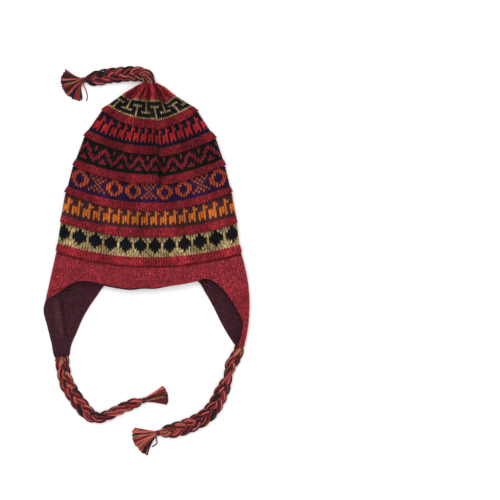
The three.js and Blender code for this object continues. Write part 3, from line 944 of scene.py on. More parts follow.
def stitch_colours(names, seed, welt_light=1.0):
    """A function that colours single legs of stitches, which stray from their yarn as heather wool does."""
    rng = np.random.default_rng(seed)
    yarns = bpy.context.scene.chullo_yarns
    own = np.zeros((*names.shape, 3))
    stray = np.zeros((*names.shape, 1))
    for name in sorted(set(names.ravel().tolist())):
        own[names == name] = np.array(getattr(yarns, name)) * (welt_light if name == "brick" else 1.0)
        stray[names == name] = HEATHER.get(name, PLAIN_HEATHER)
    whole = rng.uniform(-0.6, 0.6, (*names.shape, 1))
    hue = rng.normal(0, 0.07, (*names.shape, 3))
    # The plies of a leg differ too.
    plies = rng.uniform(-1.3, 1.3, (*names.shape, 2, ROW_PARTS)) + rng.uniform(-1, 1, (*names.shape, 2, 1))

    def colour_at(row, column, leg, third):
        row = np.minimum(row, len(names) - 1)
        light = whole[row, column] + plies[row, column, leg, third][:, None] + hue[row, column]
        return np.clip(own[row, column] * np.exp(stray[row, column] * light), 0, 1)

    return colour_at


# Yarns of the plaits and tassels

UP = (0, 0, 1)
YARN_SIDES = 6
# How far single yarns stray from their colour
DYE_STRAY = 0.12


def tubes(cloth, paths, radii, colours, sides, up, shown=None):
    """Adds closed round yarns along paths of equal step counts.

    Each step has a radius and a share of the light, and each yarn a colour."""
    paths, colours = np.asarray(paths, float), np.asarray(colours)
    n, steps = paths.shape[:2]
    radii = np.broadcast_to(radii, (n, steps))
    ahead = unit(np.gradient(paths, axis=1))
    aside = unit(np.cross(ahead, np.broadcast_to(up, ahead.shape)))
    above = np.cross(aside, ahead)
    angle = np.arange(sides) * 2 * math.pi / sides
    ring = aside[:, :, None] * np.cos(angle)[:, None] + above[:, :, None] * np.sin(angle)[:, None]
    points = paths[:, :, None] + ring * radii[:, :, None, None]
    lit = 1.0 if shown is None else np.repeat(shown.reshape(-1), sides)
    ids = cloth.add_points(points, lit).reshape(n, steps, sides)
    around = np.roll(ids, -1, axis=2)
    quads = np.stack([ids[:, :-1], around[:, :-1], around[:, 1:], ids[:, 1:]], -1)
    i, t, k = np.meshgrid(np.arange(n), np.arange(steps - 1), np.arange(sides), indexing="ij")
    places = []
    for tt, kk in SQUARE:
        x = (i + 0.06 + 0.88 * (k + kk) / sides) / n
        y = 0.02 + 0.96 * (t + tt) / (steps - 1)
        places.append(np.stack([x, y], -1))
    tint = np.repeat(colours, (steps - 1) * sides, axis=0)
    cloth.add_faces(quads.reshape(-1, 4), tint, np.stack(places, -2).reshape(-1, 4, 2))
    # Each end is closed by a fan of triangles.
    for end, y, order in ((0, 0.01, [0, 2, 1]), (steps - 1, 0.99, [0, 1, 2])):
        m = np.arange(1, sides - 1)
        three = np.stack([0 * m, m, m + 1], -1)[:, order]
        fan = np.concatenate([ids[:, end][:, three], np.full((n, sides - 2, 1), -1)], -1)
        spot = np.stack([(np.arange(n) + 0.5) / n, np.full(n, y)], -1)
        spot = np.repeat(spot, sides - 2, axis=0)[:, None]
        cloth.add_faces(fan, np.repeat(colours, sides - 2, axis=0), np.repeat(spot, 4, axis=1))


class CordLine:
    """A cord's middle line at even steps, with its frame and its sizes."""

    STEP = 1.3

    def __init__(self, table):
        dense = curve_through(np.array(table), 60)
        run = np.concatenate([[0], np.cumsum(np.linalg.norm(np.diff(dense[:, :3], axis=0), axis=1))])
        self.run = np.linspace(0, run[-1], int(run[-1] / self.STEP) + 1)
        even = np.stack([np.interp(self.run, run, dense[:, i]) for i in range(5)], -1)
        self.points, self.wide, self.thick = even[:, :3], even[:, 3], even[:, 4]
        self.ahead = unit(np.gradient(self.points, axis=0))
        self.aside = unit(np.stack([self.ahead[:, 1], -self.ahead[:, 0], np.zeros(len(even))], -1))
        self.above = np.cross(self.aside, self.ahead)
        self.length = float(run[-1])

    def end(self):
        """The last point, and the ways ahead, aside and above there."""
        return self.points[-1], self.ahead[-1], self.aside[-1], self.above[-1]


def dyed(name, rng):
    """A yarn's colour, which differs a little from yarn to yarn."""
    own = np.array(getattr(bpy.context.scene.chullo_yarns, name))
    return np.clip(own * np.exp(rng.normal(0, DYE_STRAY)), 0, 1)


# Materials


def add_node(tree, kind, settings=None, links=None):
    """Adds a node, sets its properties and inputs, and links its inputs to other nodes' outputs."""
    node = tree.nodes.new(kind)
    for key, value in (settings or {}).items():
        if isinstance(key, str) and hasattr(node, key):
            setattr(node, key, value)
        else:
            node.inputs[key].default_value = value
    for key, (other, output) in (links or {}).items():
        tree.links.new(other.outputs[output], node.inputs[key])
    return node


def wool(name, fibre, fuzz, painted_crease_shade):
    """Wool yarn in the colours of its stitches.

    Flecks break up its colour and gloss, fuzz lifts the light at the edges, and painted shade darkens the
    cracks between stitches or strands. A real fibre is about 0.03 mm thick, which is too fine to see, so the
    flecks are drawn fibre millimetres wide, as the fibres of a yarn lie in bundles."""
    material = bpy.data.materials.new(name)
    material.use_nodes = True
    tree = material.node_tree
    tree.nodes.clear()
    tint = add_node(tree, "ShaderNodeAttribute", {"attribute_name": "yarn_colour"})
    # Each point's share of light, painted into the colour as shade in cracks and folds
    painted_light_node = add_node(tree, "ShaderNodeAttribute", {"attribute_name": "painted_light"})
    place = {"Vector": (add_node(tree, "ShaderNodeTexCoord"), "Object")}
    # The textures count cells to the metre. Dye drifts over patches of about 16 mm.
    fibres = {"Scale": 1 / (fibre * MM), "Detail": 3.0, "Roughness": 0.65}
    fleck = add_node(tree, "ShaderNodeTexNoise", fibres, place)
    patch = add_node(tree, "ShaderNodeTexNoise", {"Scale": 1 / (16 * MM), "Detail": 2.0}, place)
    # Flecks of tone, dye drift, painted shade that darkens cracks and folds and lifts the tops a little, and
    # flecks of gloss
    ranges = []
    for source, low, high, dark, bright in (
        (fleck, 0.25, 0.75, 0.8, 1.2),
        (patch, 0.3, 0.7, 0.92, 1.08),
        (painted_light_node, 0.0, 1.0, painted_crease_shade, 1.06),
        (fleck, 0.3, 0.7, 0.84, 0.98),
    ):
        ends = {"From Min": low, "From Max": high, "To Min": dark, "To Max": bright}
        ranges.append(add_node(tree, "ShaderNodeMapRange", ends, {"Value": (source, "Fac")}))
    light, drift, shade, rough = ranges
    both = add_node(tree, "ShaderNodeMath", {"operation": "MULTIPLY"}, {0: (light, 0), 1: (drift, 0)})
    total = add_node(tree, "ShaderNodeMath", {"operation": "MULTIPLY"}, {0: (both, 0), 1: (shade, 0)})
    scaled = {0: (tint, "Color"), "Scale": (total, 0)}
    colour = add_node(tree, "ShaderNodeVectorMath", {"operation": "SCALE"}, scaled)
    raised = {"Strength": 0.45, "Distance": 0.25 * MM}
    bump = add_node(tree, "ShaderNodeBump", raised, {"Height": (fleck, "Fac")})
    skin = add_node(
        tree,
        "ShaderNodeBsdfPrincipled",
        {"IOR": 1.45, "Specular IOR Level": 0.1, "Sheen Weight": fuzz, "Sheen Roughness": 0.5},
        {"Base Color": (colour, 0), "Roughness": (rough, 0), "Normal": (bump, 0)},
    )
    add_node(tree, "ShaderNodeOutputMaterial", None, {"Surface": (skin, 0)})
    return material


def dress(piece, slot, *nodes):
    """Puts a piece on the hat's body in place of its solids."""
    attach(piece, "root")
    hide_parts(*nodes)
    return piece


# Operators

# Seeds of the random draws
SEEDS = {"plaits": 40, "tassels": 70, "tiers": 100, "brim": 700, "bag": 900}

# The photo's view in metres: the middle of the picture, the camera's height and the width that it sees
VIEW_MIDDLE = (0.1401, -0.0405)
VIEW_HEIGHT = 4.0
VIEW_WIDTH = 0.675
SENSOR = 36
FLOOR_HALF = 9
FLOOR_DROP = 0.0004
SKY = 0.91
# Softboxes: place, size and power
LAMPS = {
    "softbox_top": ((-0.5, 0.7, 2.2), 2.0, 29),
    "softbox_side": ((1.6, -0.6, 1.8), 1.6, 12),
}


class CHULLO_OT_stage(bpy.types.Operator):
    """Lays the pale floor, sets soft light all round and looks straight down, as the photo does"""

    bl_idname = "chullo.stage"
    bl_label = "Stage"

    def execute(self, context):
        mesh = bpy.data.meshes.new("floor")
        corners = [(x * FLOOR_HALF, y * FLOOR_HALF, 0) for x, y in ((-1, -1), (1, -1), (1, 1), (-1, 1))]
        mesh.from_pydata(corners, [], [(0, 1, 2, 3)])
        floor = bpy.data.objects.new("floor", mesh)
        floor.location.z = -FLOOR_DROP
        context.scene.collection.objects.link(floor)
        # Matt white paper: bright, with no gloss
        paper = bpy.data.materials.new("white_paper")
        paper.use_nodes = True
        skin = paper.node_tree.nodes["Principled BSDF"]
        skin.inputs["Base Color"].default_value = (*linear("ffffff"), 1)
        skin.inputs["Roughness"].default_value = 0.95
        skin.inputs["Specular IOR Level"].default_value = 0.1
        mesh.materials.append(paper)
        world = bpy.data.worlds.new("studio")
        world.use_nodes = True
        sky = world.node_tree.nodes["Background"]
        sky.inputs["Color"].default_value = (1, 1, 1, 1)
        sky.inputs["Strength"].default_value = SKY
        context.scene.world = world
        for name, (place, size, power) in LAMPS.items():
            light = bpy.data.lights.new(name, "AREA")
            light.size = size
            light.energy = power
            lamp = bpy.data.objects.new(name, light)
            lamp.location = place
            aim = -lamp.location
            lamp.rotation_euler = aim.to_track_quat("-Z", "Y").to_euler()
            context.scene.collection.objects.link(lamp)
        camera = bpy.data.cameras.new("camera")
        eye = bpy.data.objects.new("camera", camera)
        eye.location = (*VIEW_MIDDLE, VIEW_HEIGHT)
        camera.sensor_width = SENSOR
        camera.lens = SENSOR * VIEW_HEIGHT / VIEW_WIDTH
        camera.clip_end = 100
        context.scene.collection.objects.link(eye)
        context.scene.camera = eye
        context.scene.view_settings.view_transform = "Standard"
        return {"FINISHED"}


# The end of a plait: over how many millimetres its yarns thin and the whole is drawn in, and to what shares
THIN_WAY, THIN_SHARE = 14.0, 0.72
DRAWN_WAY, DRAWN_WIDE, DRAWN_THICK = 9.0, 0.64, 0.72
# A plait is round up to that ratio of width to thickness, and flat where it is that much more.
FLAT_FROM, FLAT_WAY = 1.08, 0.3
# Yarns bulge past the traced width, the top braid is plaited tighter, and each plait starts at its own turn.
BULGE = 1.07
TIGHTER = 0.86
TURN_APART = 1.9
# A strand in shares of the plait: half its width where the plait is round and where it is flat, and half
# its thickness
STRAND_ROUND, STRAND_FLAT, STRAND_THICK = 0.26, 0.275, 0.32
# Its yarns lie that share of their radius inside its skin, and turn by one radian in that many millimetres.
YARN_INSET = 0.85
YARN_TWIST = 34.0
# Where the top braid's yarns leave the cap: steps, way back, height of its cloth and which yarns go over it
LEAD_STEPS = 5
LEAD_BACK = 4.4
LEAD_TOP = 16.7
LEAD_FROM = 10.5


class CHULLO_OT_plaits(bpy.types.Operator):
    """Plaits the top braid and both ties from three strands of sixteen yarns each"""

    bl_idname = "chullo.plaits"
    bl_label = "Plaits"

    def execute(self, context):
        sizes = context.scene.chullo_sizes
        # Plaited wool: soft round yarns, with painted shade, nearly black, in the cracks where the strands
        # cross
        material = wool("plaited_wool_yarn", fibre=0.5, fuzz=0.06, painted_crease_shade=0.22)
        radius = sizes.yarn_radius / MM
        for index, (name, table) in enumerate(CORDS.items()):
            line = CordLine(table)
            paths, colours, shown = self.plait(index, name, line, radius, sizes.plait_pitch)
            paths[..., 2] = np.maximum(paths[..., 2], 0.1 + radius)
            ends = smooth((line.length - line.run) / THIN_WAY)
            ends = np.pad(ends, (paths.shape[1] - len(ends), 0), mode="edge")
            radii = radius * mix(THIN_SHARE, 1.0, ends)
            cloth = Cloth()
            tubes(cloth, paths, radii[None, :], colours, YARN_SIDES, UP, shown)
            dress(cloth.build(f"{name}_plait", material), "braid_yarn", name)
        return {"FINISHED"}

    def plait(self, index, name, line, radius, pitch):
        """Paths, colours and shares of light of a plait's yarns."""
        rng = np.random.default_rng(SEEDS["plaits"] + index)
        # The top braid's lobes point to its tassel, and the ties' back to the flaps.
        top = name == "top_braid"
        way, pitch = (-1, TIGHTER * pitch / MM) if top else (1, pitch / MM)
        flatness = smooth((line.wide / line.thick - FLAT_FROM) / FLAT_WAY)
        drawn_in = smooth((line.length - line.run) / DRAWN_WAY)
        wide = line.wide * BULGE * mix(DRAWN_WIDE, 1.0, drawn_in)
        thick = line.thick * mix(DRAWN_THICK, 1.0, drawn_in)
        strand_wide = wide * mix(STRAND_ROUND, STRAND_FLAT, flatness)
        strand_thick = mix(strand_wide, thick * STRAND_THICK, flatness)
        sway = wide / 2 - strand_wide
        lift = thick / 2 - strand_thick
        turn = 2 * math.pi * line.run / pitch + index * TURN_APART
        paths, colours, shown = [], [], []
        for k in range(3):
            phase = turn + 2 * math.pi * k / 3
            over = mix(sway * np.cos(phase), way * lift * np.sin(2 * phase), flatness)
            core = line.points + line.aside * (sway * np.sin(phase))[:, None] + line.above * over[:, None]
            ahead = unit(np.gradient(core, axis=0))
            above = unit(line.above - ahead * (line.above * ahead).sum(1, keepdims=True))
            aside = np.cross(ahead, above)
            strand = (k + index) % 3
            shades = STRANDS[strand].split()
            for i, shade in enumerate(shades):
                shade = shade if top or i % 4 else TIE_YARNS[strand]
                angle = 2 * math.pi * i / len(shades) + line.run / YARN_TWIST + rng.normal(0, 0.08)
                wave = 1 + 0.05 * np.sin(line.run / rng.uniform(3, 6) + rng.uniform(0, 6))
                off = aside * ((strand_wide - radius * YARN_INSET) * wave * np.cos(angle))[:, None]
                off = off + above * ((strand_thick - radius * YARN_INSET) * wave * np.sin(angle))[:, None]
                path = core + off
                lit = smooth(((over + strand_thick * np.sin(angle)) / (thick / 2) - 0.05) / 0.75)
                if top:
                    path, lit = self.lead_in(path, lit, rng)
                paths.append(path)
                shown.append(lit)
                colours.append(dyed(shade, rng))
        return np.array(paths), colours, np.array(shown)

    def lead_in(self, path, lit, rng):
        """Runs a yarn of the top braid on into the gathered cap, an upper one over it."""
        root = path[0] + (0.15 * (path[0, 0] - CROWN_TIP[0]), -LEAD_BACK + rng.uniform(-0.4, 0.4), 0)
        root[2] = LEAD_TOP + 0.1 * (root[2] - LEAD_FROM) if root[2] > LEAD_FROM else root[2]
        t = np.linspace(0, 0.8, LEAD_STEPS)
        lead = mix(root, path[0], t[:, None])
        lead[:, 2] += 0.6 * np.sin(t * math.pi)
        return np.vstack([lead, path]), np.concatenate([np.full(LEAD_STEPS, lit[0]), lit])


# Layers of a tassel, from the floor up: heights of the yarns' bends and of their tips
BEND_HEIGHTS = (3.0, 5.4, 7.4)
TIP_HEIGHTS = (1.1, 2.6, 4.3)
# Radii of the ring of yarns at the plait's end and at the end of the neck
ROOT_RING, NECK_RING = 2.0, 2.4
# Radius of a yarn end along its steps, and of a stray one: they fluff out towards the tip.
END_RADII = np.concatenate([[0.6, 0.6, 0.6], np.linspace(0.64, 0.95, 14)])
STRAY_RADIUS = 0.8
# Share of the ends that lie in another lock than their own
ASTRAY = {"top": 0.25, "left": 0.25, "right": 0.5}
# The binding: turns, way along the neck, radius of its yarn, steps and sides
WOUND_TURNS, WOUND_WAY, WOUND_RADIUS, WOUND_STEPS, WOUND_SIDES = 4.6, 3.6, 0.6, 130, 8


class CHULLO_OT_tassels(bpy.types.Operator):
    """Fans out the loose yarn ends past each plait and winds the binding round its neck"""

    bl_idname = "chullo.tassels"
    bl_label = "Tassels"

    def execute(self, context):
        # Cut ends: the yarn of the plaits lying loose, so that the painted shade in its cracks is lighter
        loose = wool("cut_wool_ends", fibre=0.5, fuzz=0.06, painted_crease_shade=0.6)
        # Wound yarn: the same under tension, smooth and dark
        wound = wool("wound_wool_yarn", fibre=0.5, fuzz=0.06, painted_crease_shade=0.6)
        for index, (name, (cord, *fan)) in enumerate(FANS.items()):
            line = CordLine(CORDS[cord])
            at, ahead, aside, above = line.end()
            paths, colours = self.ends(index, name, line, *fan)
            shade, places = STRAYS[name]
            stray = curve_through(np.column_stack([places, STRAY_HEIGHTS]), 6)
            paths.append(stray[np.linspace(0, len(stray) - 1, len(END_RADII)).astype(int)])
            colours.append(np.array(getattr(context.scene.chullo_yarns, shade)))
            paths = np.array(paths)
            radii = np.tile(END_RADII, (len(paths), 1))
            radii[-1] = STRAY_RADIUS
            paths[..., 2] = np.maximum(paths[..., 2], radii + 0.05)
            cloth = Cloth()
            tubes(cloth, paths, radii, colours, YARN_SIDES, UP)
            dress(cloth.build(f"{name}_tassel_ends", loose), "tassel_yarn", f"{name}_tassel")
            wind = np.linspace(0, 1, WOUND_STEPS)
            swing = wind * WOUND_TURNS * 2 * math.pi
            coil = at + ahead * (FIT + WOUND_RADIUS + wind * WOUND_WAY)[:, None]
            coil = coil + (aside * np.cos(swing)[:, None] + above * np.sin(swing)[:, None]) * NECK_RADIUS
            cloth = Cloth()
            tubes(cloth, [coil], WOUND_RADIUS, [context.scene.chullo_yarns.wine], WOUND_SIDES, ahead)
            dress(cloth.build(f"{name}_binding_wound", wound), "binding_yarn", f"{name}_binding")
            self.declare(name, cord, line)
        return {"FINISHED"}

    def ends(self, index, name, line, heading, spread, reach, count, locks):
        """Paths and colours of a tassel's yarns."""
        at, ahead, aside, above = line.end()
        rng = np.random.default_rng(SEEDS["tassels"] + index)
        locks = locks.split()
        head = at + ahead * (FIT + NECK_LENGTH)
        t = np.linspace(0, 1, 15)[:, None]
        paths, colours = [], []
        for j in range(count):
            layer = j % 3
            lock = int(j / count * len(locks))
            middle = (lock + 0.5) / len(locks)
            share = mix((j + rng.uniform(-0.4, 0.4)) / (count - 1), middle, 0.3) - 0.5
            turn = math.radians(heading + share * spread * (1 - 0.13 * layer))
            out = np.array([math.cos(turn), math.sin(turn), 0])
            far = (reach - NECK_LENGTH * 0.25) * rng.uniform(0.92, 1.03)
            angle = math.pi * (j + 0.5) / count + rng.uniform(-0.3, 0.3)
            side = 1 if layer else -1
            around = aside * math.cos(angle) + above * side * abs(math.sin(angle))
            root = at + ahead * FIT + around * ROOT_RING
            neck = head - ahead * 2.0 + around * NECK_RING
            bend = head + ahead * far * 0.16 + out * far * 0.3 + aside * math.cos(angle) * 1.5
            bend[2] = BEND_HEIGHTS[layer] + rng.uniform(-0.5, 0.5)
            tip = head + out * far
            tip[2] = TIP_HEIGHTS[layer] + rng.uniform(-0.3, 0.5)
            first = root * (1 - t) + neck * t
            rest = (1 - t) ** 2 * neck + 2 * t * (1 - t) * bend + t**2 * tip
            swing = np.sin(t * rng.uniform(3, 7) + rng.uniform(0, 6)) * t * 0.7
            sway = np.array([-out[1], out[0], 0]) * swing
            paths.append(np.vstack([first[::7], (rest + sway)[1:]]))
            astray = rng.random() < ASTRAY[name]
            shade = locks[int(rng.integers(0, len(locks))) if astray else lock]
            # A tan lock holds one tan yarn, which lies on top, and the rest of it is charcoal.
            shade = "charcoal" if shade == "tan_yarn" else shade
            if locks[lock] == "tan_yarn" and j % 6 == 2:
                shade = "tan_yarn"
            colours.append(dyed(shade, rng))
        return paths, colours

    def declare(self, name, cord, line):
        """Does nothing: the cord's length and what is on its end are not declared."""


# Rows of the cap and of the band under it, and the levels of the cap by row
CAP_ROWS = 12
KEY_ROWS = 10
CAP_LEVELS = [(0, None), (2, GATHER), (6, CROWN), (CAP_ROWS, CAP_EDGE)]
# A band starts under the welt above: at that share of its rows, in from its sides and down from its top.
STARTS_AT = 0.66
STARTS_IN = 1.2
STARTS_DOWN = 0.5
# The hidden side ends at that share of the welt's rows, and lies deeper where the cap is gathered.
HIDDEN_TO = 0.78
GATHERED_DEEPER = 0.8
# Share of a layer's depth by which its gathered tip lies lower
TIP_DROP = 1.1


class CHULLO_OT_tiers(bpy.types.Operator):
    """Knits the cap, the six patterned bands and their rolled welts"""

    bl_idname = "chullo.tiers"
    bl_label = "Tiers"

    def execute(self, context):
        # Stocking stitch: heather wool in columns of small slanting legs, with painted shade, nearly black,
        # between them
        material = wool("stocking_knit_wool", fibre=0.7, fuzz=0.04, painted_crease_shade=0.18)
        above = None
        for index, name in enumerate(TIERS):
            self.tier(context, index, name, above, material)
            above = name
        return {"FINISHED"}

    def tier(self, context, index, name, above, material):
        """Knits a band with the welt below it, and the cap over the first band."""
        sizes = context.scene.chullo_sizes
        _, _, top, crease = TIERS[name]
        count, _, phase, _, letters = BANDS[name]
        u, fine = part_stitches(count)
        s = (u + phase % 1) / count
        levels = self.levels(name, above, sizes.row_height / MM)
        last, foot_level = levels[-1]
        v = np.arange((last + sizes.welt_rows) * ROW_PARTS + 1) / ROW_PARTS
        front = (s > 0.25) & (s < 0.75)
        ruffle = 0.7 * np.cos(2 * math.pi * 11 * s + 0.4) + 0.5 * np.cos(12 * math.pi * s + 2.0)
        base, pleats, fold_shade = [], [], []
        for row in v:
            if row > last:
                points = on_loop(welt_level(name, (row - last) / sizes.welt_rows), s)
            elif above is None and row < 2:
                points = mix(CROWN_TIP, on_loop(GATHER, s), row / 2)
            else:
                k = max(i for i, (at, _) in enumerate(levels[:-1]) if at <= row)
                (at, one), (to, two) = levels[k : k + 2]
                tucked = 0.35 if above and row < 1 else 0.0
                points = on_loop(mix(one, two, (row - at) / (to - at)), s, tucked)
            pleat, folds = self.gather(row, points, front) if above is None else (0.0, 0.0)
            pleats.append(pleat * ruffle - 1.6 * folds)
            base.append(points)
            # Painted shade in the front's crease and in the cap's folds
            fold_shade.append(np.minimum(1, crease * in_crease(points[:, 0], foot_level) * front + 0.8 * folds))
        base = np.array(base)
        # The front lies in small waves.
        waves = 0.2 * np.sin(2 * math.pi * 7 * s + index * 1.7)
        waves = waves + 0.12 * np.sin(2 * math.pi * 17 * s + index * 2.9)
        waves = (waves * np.where(fine, 1, 0))[None, :] * np.clip(v / 4, 0, 1)[:, None]
        names = self.chart_names(name, 0 if above else CAP_ROWS, last, sizes.welt_rows)
        colour_at = stitch_colours(names, SEEDS["tiers"] + index, WELT_LIGHT[name])
        # It is darkened by painted shade under the welt above, under its own welt's lip and in folds.
        shade = np.ones(len(v)) if above is None else np.interp(v, [0, 1.1, 2.3], [0, 0.1, 1])
        shade = shade * np.interp(v, [last + 0.85 * sizes.welt_rows, last + sizes.welt_rows], [1, 0.3])
        shade = shade[:, None] * (1 - 0.8 * np.array(fold_shade))
        cloth = Cloth()
        ids, *_ = knit(
            cloth, base, u, v, count, fine, sizes.relief / MM, colour_at,
            extra=np.array(pleats) + waves, shade=shade, wales=np.where(v > last, 0.55, 1.0)[:, None],
        )
        wall = welt_level(name, HIDDEN_TO)
        wall[5:8] = FOLD_RADIUS, top, BAND_BED
        rings = [ids[-1]]
        for row in [wall] + [row for _, row in levels[::-1]]:
            if row is None:
                tip = cloth.add_points(CROWN_TIP - (0, OUTER_KNIT * TIP_DROP, 0), HIDDEN)
                rings.append(np.repeat(tip, len(s)))
                continue
            gathered = row is GATHER or row is CROWN or row is CAP_EDGE
            points = on_loop(row, s, OUTER_KNIT + (GATHERED_DEEPER if gathered else 0))
            points[:, 1] -= OUTER_KNIT if row is GATHER else 0
            rings.append(cloth.add_points(points, HIDDEN))
        if above:
            rings.append(ids[0])
        ground = next(iter(letters.values()))
        back_with(cloth, rings, np.array(getattr(context.scene.chullo_yarns, ground)), False)
        piece = dress(cloth.build(f"{name}_tier", material), "outer_knit", "outer_shell")

    def levels(self, name, above, row_height):
        """The levels of a tier's cloth from its start to the band's foot, each with its row."""
        foot, _, top, crease = TIERS[name]
        foot_level = level(foot, top, 0, crease)
        if above is None:
            return [*CAP_LEVELS, (CAP_ROWS + KEY_ROWS, foot_level)]
        start = welt_level(above, STARTS_AT)
        start[5:8] = FOLD_RADIUS, TIERS[above][2], BAND_BED
        side = np.hypot(foot[0] - start[0], foot[1] - start[1])
        start[4] = max(start[4], foot[4] + 0.9 * side)
        start[0] += STARTS_IN
        start[2] -= STARTS_IN
        start[6] -= STARTS_DOWN
        _, chart, _, plain, _ = BANDS[name]
        return [(0, start), (max(len(chart) + plain + 1, round(side / row_height)), foot_level)]

    def gather(self, row, points, front):
        """How deep a row of the cap is pleated and folded. Its points move where folds pull the edge down."""
        pleat = np.interp(row, [1, 3, 7, 12, 15], [0.3, 0.8, 1.0, 0.6, 0.0])
        x = points[:, 0]
        t = (2 * x - x.max() - x.min()) / max(x.max() - x.min(), 1e-6)
        folds = sum(deep * bell(t - at, wide) for at, wide, deep in CAP_FOLDS)
        pull = 6.5 * bell(t - 0.65, 0.17) + 3.5 * bell(t + 0.75, 0.13)
        points[:, 1] -= pull * front * np.interp(row, [6, 12, 20], [0, 1, 0])
        return pleat, folds * front * pleat

    def chart_names(self, name, band_from, last, welt_rows):
        """Yarn names of every stitch of a tier, by row and column."""
        count, chart, phase, plain, letters = BANDS[name]
        if last - plain - len(chart) < band_from:
            raise RuntimeError(f"the chart of {name} has more rows than its band")
        table = np.full((last + welt_rows + 1, count), "brick", dtype=object)
        table[:band_from] = "cap"
        table[band_from:last] = next(iter(letters.values()))
        for i, line in enumerate(chart):
            row = last - plain - len(chart) + i
            for c in range(count):
                table[row, c] = letters[line[(math.floor(phase) - c) % len(line)]]
        return table


# Depth of the lining's hidden and shown side under the outer face
LINING_NEAR = OUTER_KNIT + LAYER_GAP
LINING_FAR = OUTER_KNIT + LAYER_GAP + LINING_KNIT
# The lining bag: stitches round it, way between its rows and relief, coarse because it is hidden
BAG_STITCHES = 120
BAG_ROW = 3.0
BAG_RELIEF = 0.4
# Rows of the brim and of its lining in heights of a band's row, and how far the brim goes up under the welt
BRIM_ROW, LINING_ROW = 0.9, 1.04
BRIM_TUCK = 7.0
# The soft fold in the lining of the left flap: a point on it, its lean, and where it starts and ends
FOLD_AT = (-115.2, -109.4)
FOLD_LEAN = 0.133
FOLD_FROM, FOLD_TO = -100, -172


def knit_brim(context, name, material, lining, depth, back):
    """Knits a layer of the brim and both flaps: the shown face at one depth and the hidden one at another."""
    sizes = context.scene.chullo_sizes
    count = sizes.brim_stitches
    brim = Brim(lining)
    shade_name = "maroon" if lining else "brim"
    u, fine = part_stitches(count)
    row = sizes.row_height / MM * (LINING_ROW if lining else BRIM_ROW)
    points, where, edge, v = brim_grid(brim, u, count, row, depth, 0.0 if lining else BRIM_TUCK)
    points = np.concatenate([points, where[..., None]], -1)
    colour_at = stitch_colours(np.full((len(v), count), shade_name, dtype=object), SEEDS["brim"])
    relief = sizes.relief / MM * (0.9 if lining else 1.0)
    extra = 0.0
    # Painted shadow under the last welt's lip, over the first rows of the brim
    shade = np.broadcast_to(np.interp(v, [2.4, 3.1], [0.1, 1])[:, None], edge.shape)
    if lining:
        x, y = points[..., 0], points[..., 1]
        off = x - FOLD_AT[0] + FOLD_LEAN * (y - FOLD_AT[1])
        near = smooth((FOLD_FROM - y) / 14) * smooth((y - FOLD_TO) / 30) * (x < 0)
        extra = near * (1.3 * bell(off + 5, 4) - 0.9 * bell(off, 3))
        # Painted shade along the soft fold
        shade = 1 - 0.3 * near * bell(off - 0.5, 3)
    cloth = Cloth()
    ids, spots, number, faces = knit(
        cloth, points, u, v, count, fine, relief, colour_at,
        edge=edge, purl=lining, extra=extra, shade=shade, lean=0.55, wales=0.2,
    )
    ring, at = rim_of(faces, number[0], spots)
    own = np.array(getattr(context.scene.chullo_yarns, shade_name))
    rings = [ids.min() + ring]
    for t in (1.0, 0.8, 0.6, 0.4, 0.2, 0.0):
        rings.append(cloth.add_points(brim.point(at, np.full_like(at, t), back), HIDDEN))
    back_with(cloth, rings, own, lining)
    zipped(cloth, rings[-1], at, ids[0], u / count, own, not lining)
    piece = cloth.build(name, material)
    return piece


class CHULLO_OT_brim(bpy.types.Operator):
    """Knits the plain brim and the outer layer of both ear flaps"""

    bl_idname = "chullo.brim"
    bl_label = "Brim and flaps"

    def execute(self, context):
        # Stocking stitch of one heather yarn: an even, grainy red
        material = wool("brim_knit_wool", fibre=0.7, fuzz=0.04, painted_crease_shade=0.2)
        piece = knit_brim(context, "brim_and_flaps", material, False, 0.0, OUTER_KNIT)
        dress(piece, "outer_knit", "outer_shell")
        return {"FINISHED"}


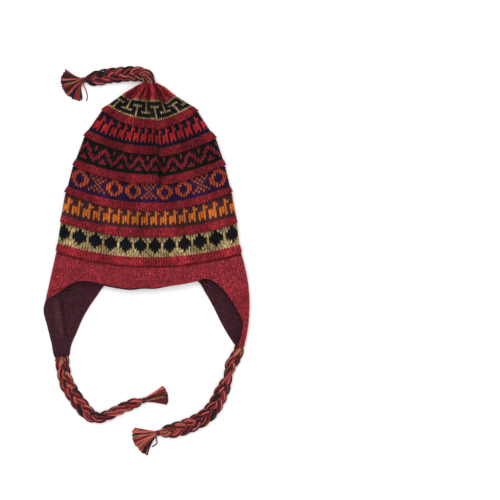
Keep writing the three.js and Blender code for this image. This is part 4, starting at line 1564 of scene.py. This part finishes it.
class CHULLO_OT_lining(bpy.types.Operator):
    """Knits the dark lining with the ridged wrong side showing"""

    bl_idname = "chullo.lining"
    bl_label = "Lining"

    def execute(self, context):
        # The wrong side of stocking stitch: dark, with fine ridges across
        material = wool("purl_knit_lining", fibre=0.7, fuzz=0.05, painted_crease_shade=0.42)
        piece = knit_brim(context, "lining_brim_and_flaps", material, True, LINING_FAR, LINING_NEAR)
        dress(piece, "lining_knit", "lining")
        self.bag(context, material)
        return {"FINISHED"}

    def bag(self, context, material):
        """The lining inside the bands, which only the mouth of the hat shows."""
        count = BAG_STITCHES
        u = np.arange(0, count, 0.5)
        s = u / count
        levels = [GATHER, CROWN, CAP_EDGE]
        levels += [level(foot, top, 0, crease) for foot, _, top, crease in TIERS.values()] + [BRIM_TOP]
        centre = np.array([row[4] for row in levels])
        base = [np.repeat([CROWN_TIP - (0, LINING_FAR * TIP_DROP, 0)], len(s), axis=0)]
        for y in np.arange(centre[0] - LINING_FAR, BRIM_TOP[4], -BAG_ROW):
            row = np.array([np.interp(-y, -centre, [r[i] for r in levels]) for i in range(9)])
            points = on_loop(row, s, LINING_FAR)
            points[:, 1] -= LINING_FAR * np.clip((y - 168) / 14, 0, 1)
            base.append(points)
        base.append(on_loop(BRIM_TOP, s, LINING_FAR))
        base = np.array(base)
        v = np.arange(len(base)) * 0.5
        cloth = Cloth()
        colour_at = stitch_colours(np.full((len(base), count), "maroon", dtype=object), SEEDS["bag"])
        ids, *_ = knit(cloth, base, u, v, count, np.ones(len(u), bool), BAG_RELIEF, colour_at, purl=True)
        rings = [ids[-1]]
        for row in levels[::-1]:
            points = on_loop(row, s, LINING_NEAR)
            drop = 1 if row is GATHER else 0.5 if row is CROWN or row is CAP_EDGE else 0
            points[:, 1] -= LINING_NEAR * drop
            rings.append(cloth.add_points(points, HIDDEN))
        tip = cloth.add_points(CROWN_TIP - (0, LINING_NEAR * TIP_DROP, 0), HIDDEN)
        rings.append(np.repeat(tip, len(s)))
        back_with(cloth, rings, np.array(context.scene.chullo_yarns.maroon), True)
        piece = dress(cloth.build("lining_bag", material), "lining_knit", "lining")


class CHULLO_PT_panel(bpy.types.Panel):
    """Lists the steps and what can be changed"""

    bl_label = "Chullo"
    bl_idname = "CHULLO_PT_panel"
    bl_space_type = "VIEW_3D"
    bl_region_type = "UI"
    bl_category = "Chullo"

    def draw(self, context):
        for step in STEPS:
            self.layout.operator(step.bl_idname)
        for group in (context.scene.chullo_sizes, context.scene.chullo_yarns):
            box = self.layout.box()
            for key in group.bl_rna.properties.keys():
                if key not in ("rna_type", "name"):
                    box.prop(group, key)


STEPS = (
    CHULLO_OT_stage,
    CHULLO_OT_plaits,
    CHULLO_OT_tassels,
    CHULLO_OT_tiers,
    CHULLO_OT_brim,
    CHULLO_OT_lining,
)
CLASSES = (ChulloYarns, ChulloSizes, *STEPS, CHULLO_PT_panel)


def register():
    for one in CLASSES:
        bpy.utils.register_class(one)
    bpy.types.Scene.chullo_yarns = PointerProperty(type=ChulloYarns)
    bpy.types.Scene.chullo_sizes = PointerProperty(type=ChulloSizes)


def unregister():
    del bpy.types.Scene.chullo_sizes
    del bpy.types.Scene.chullo_yarns
    for one in reversed(CLASSES):
        bpy.utils.unregister_class(one)


def main():
    register()
    bpy.ops.chullo.stage()
    bpy.ops.chullo.plaits()
    bpy.ops.chullo.tassels()
    bpy.ops.chullo.tiers()
    bpy.ops.chullo.brim()
    bpy.ops.chullo.lining()


if __name__ == "__main__":
    main()
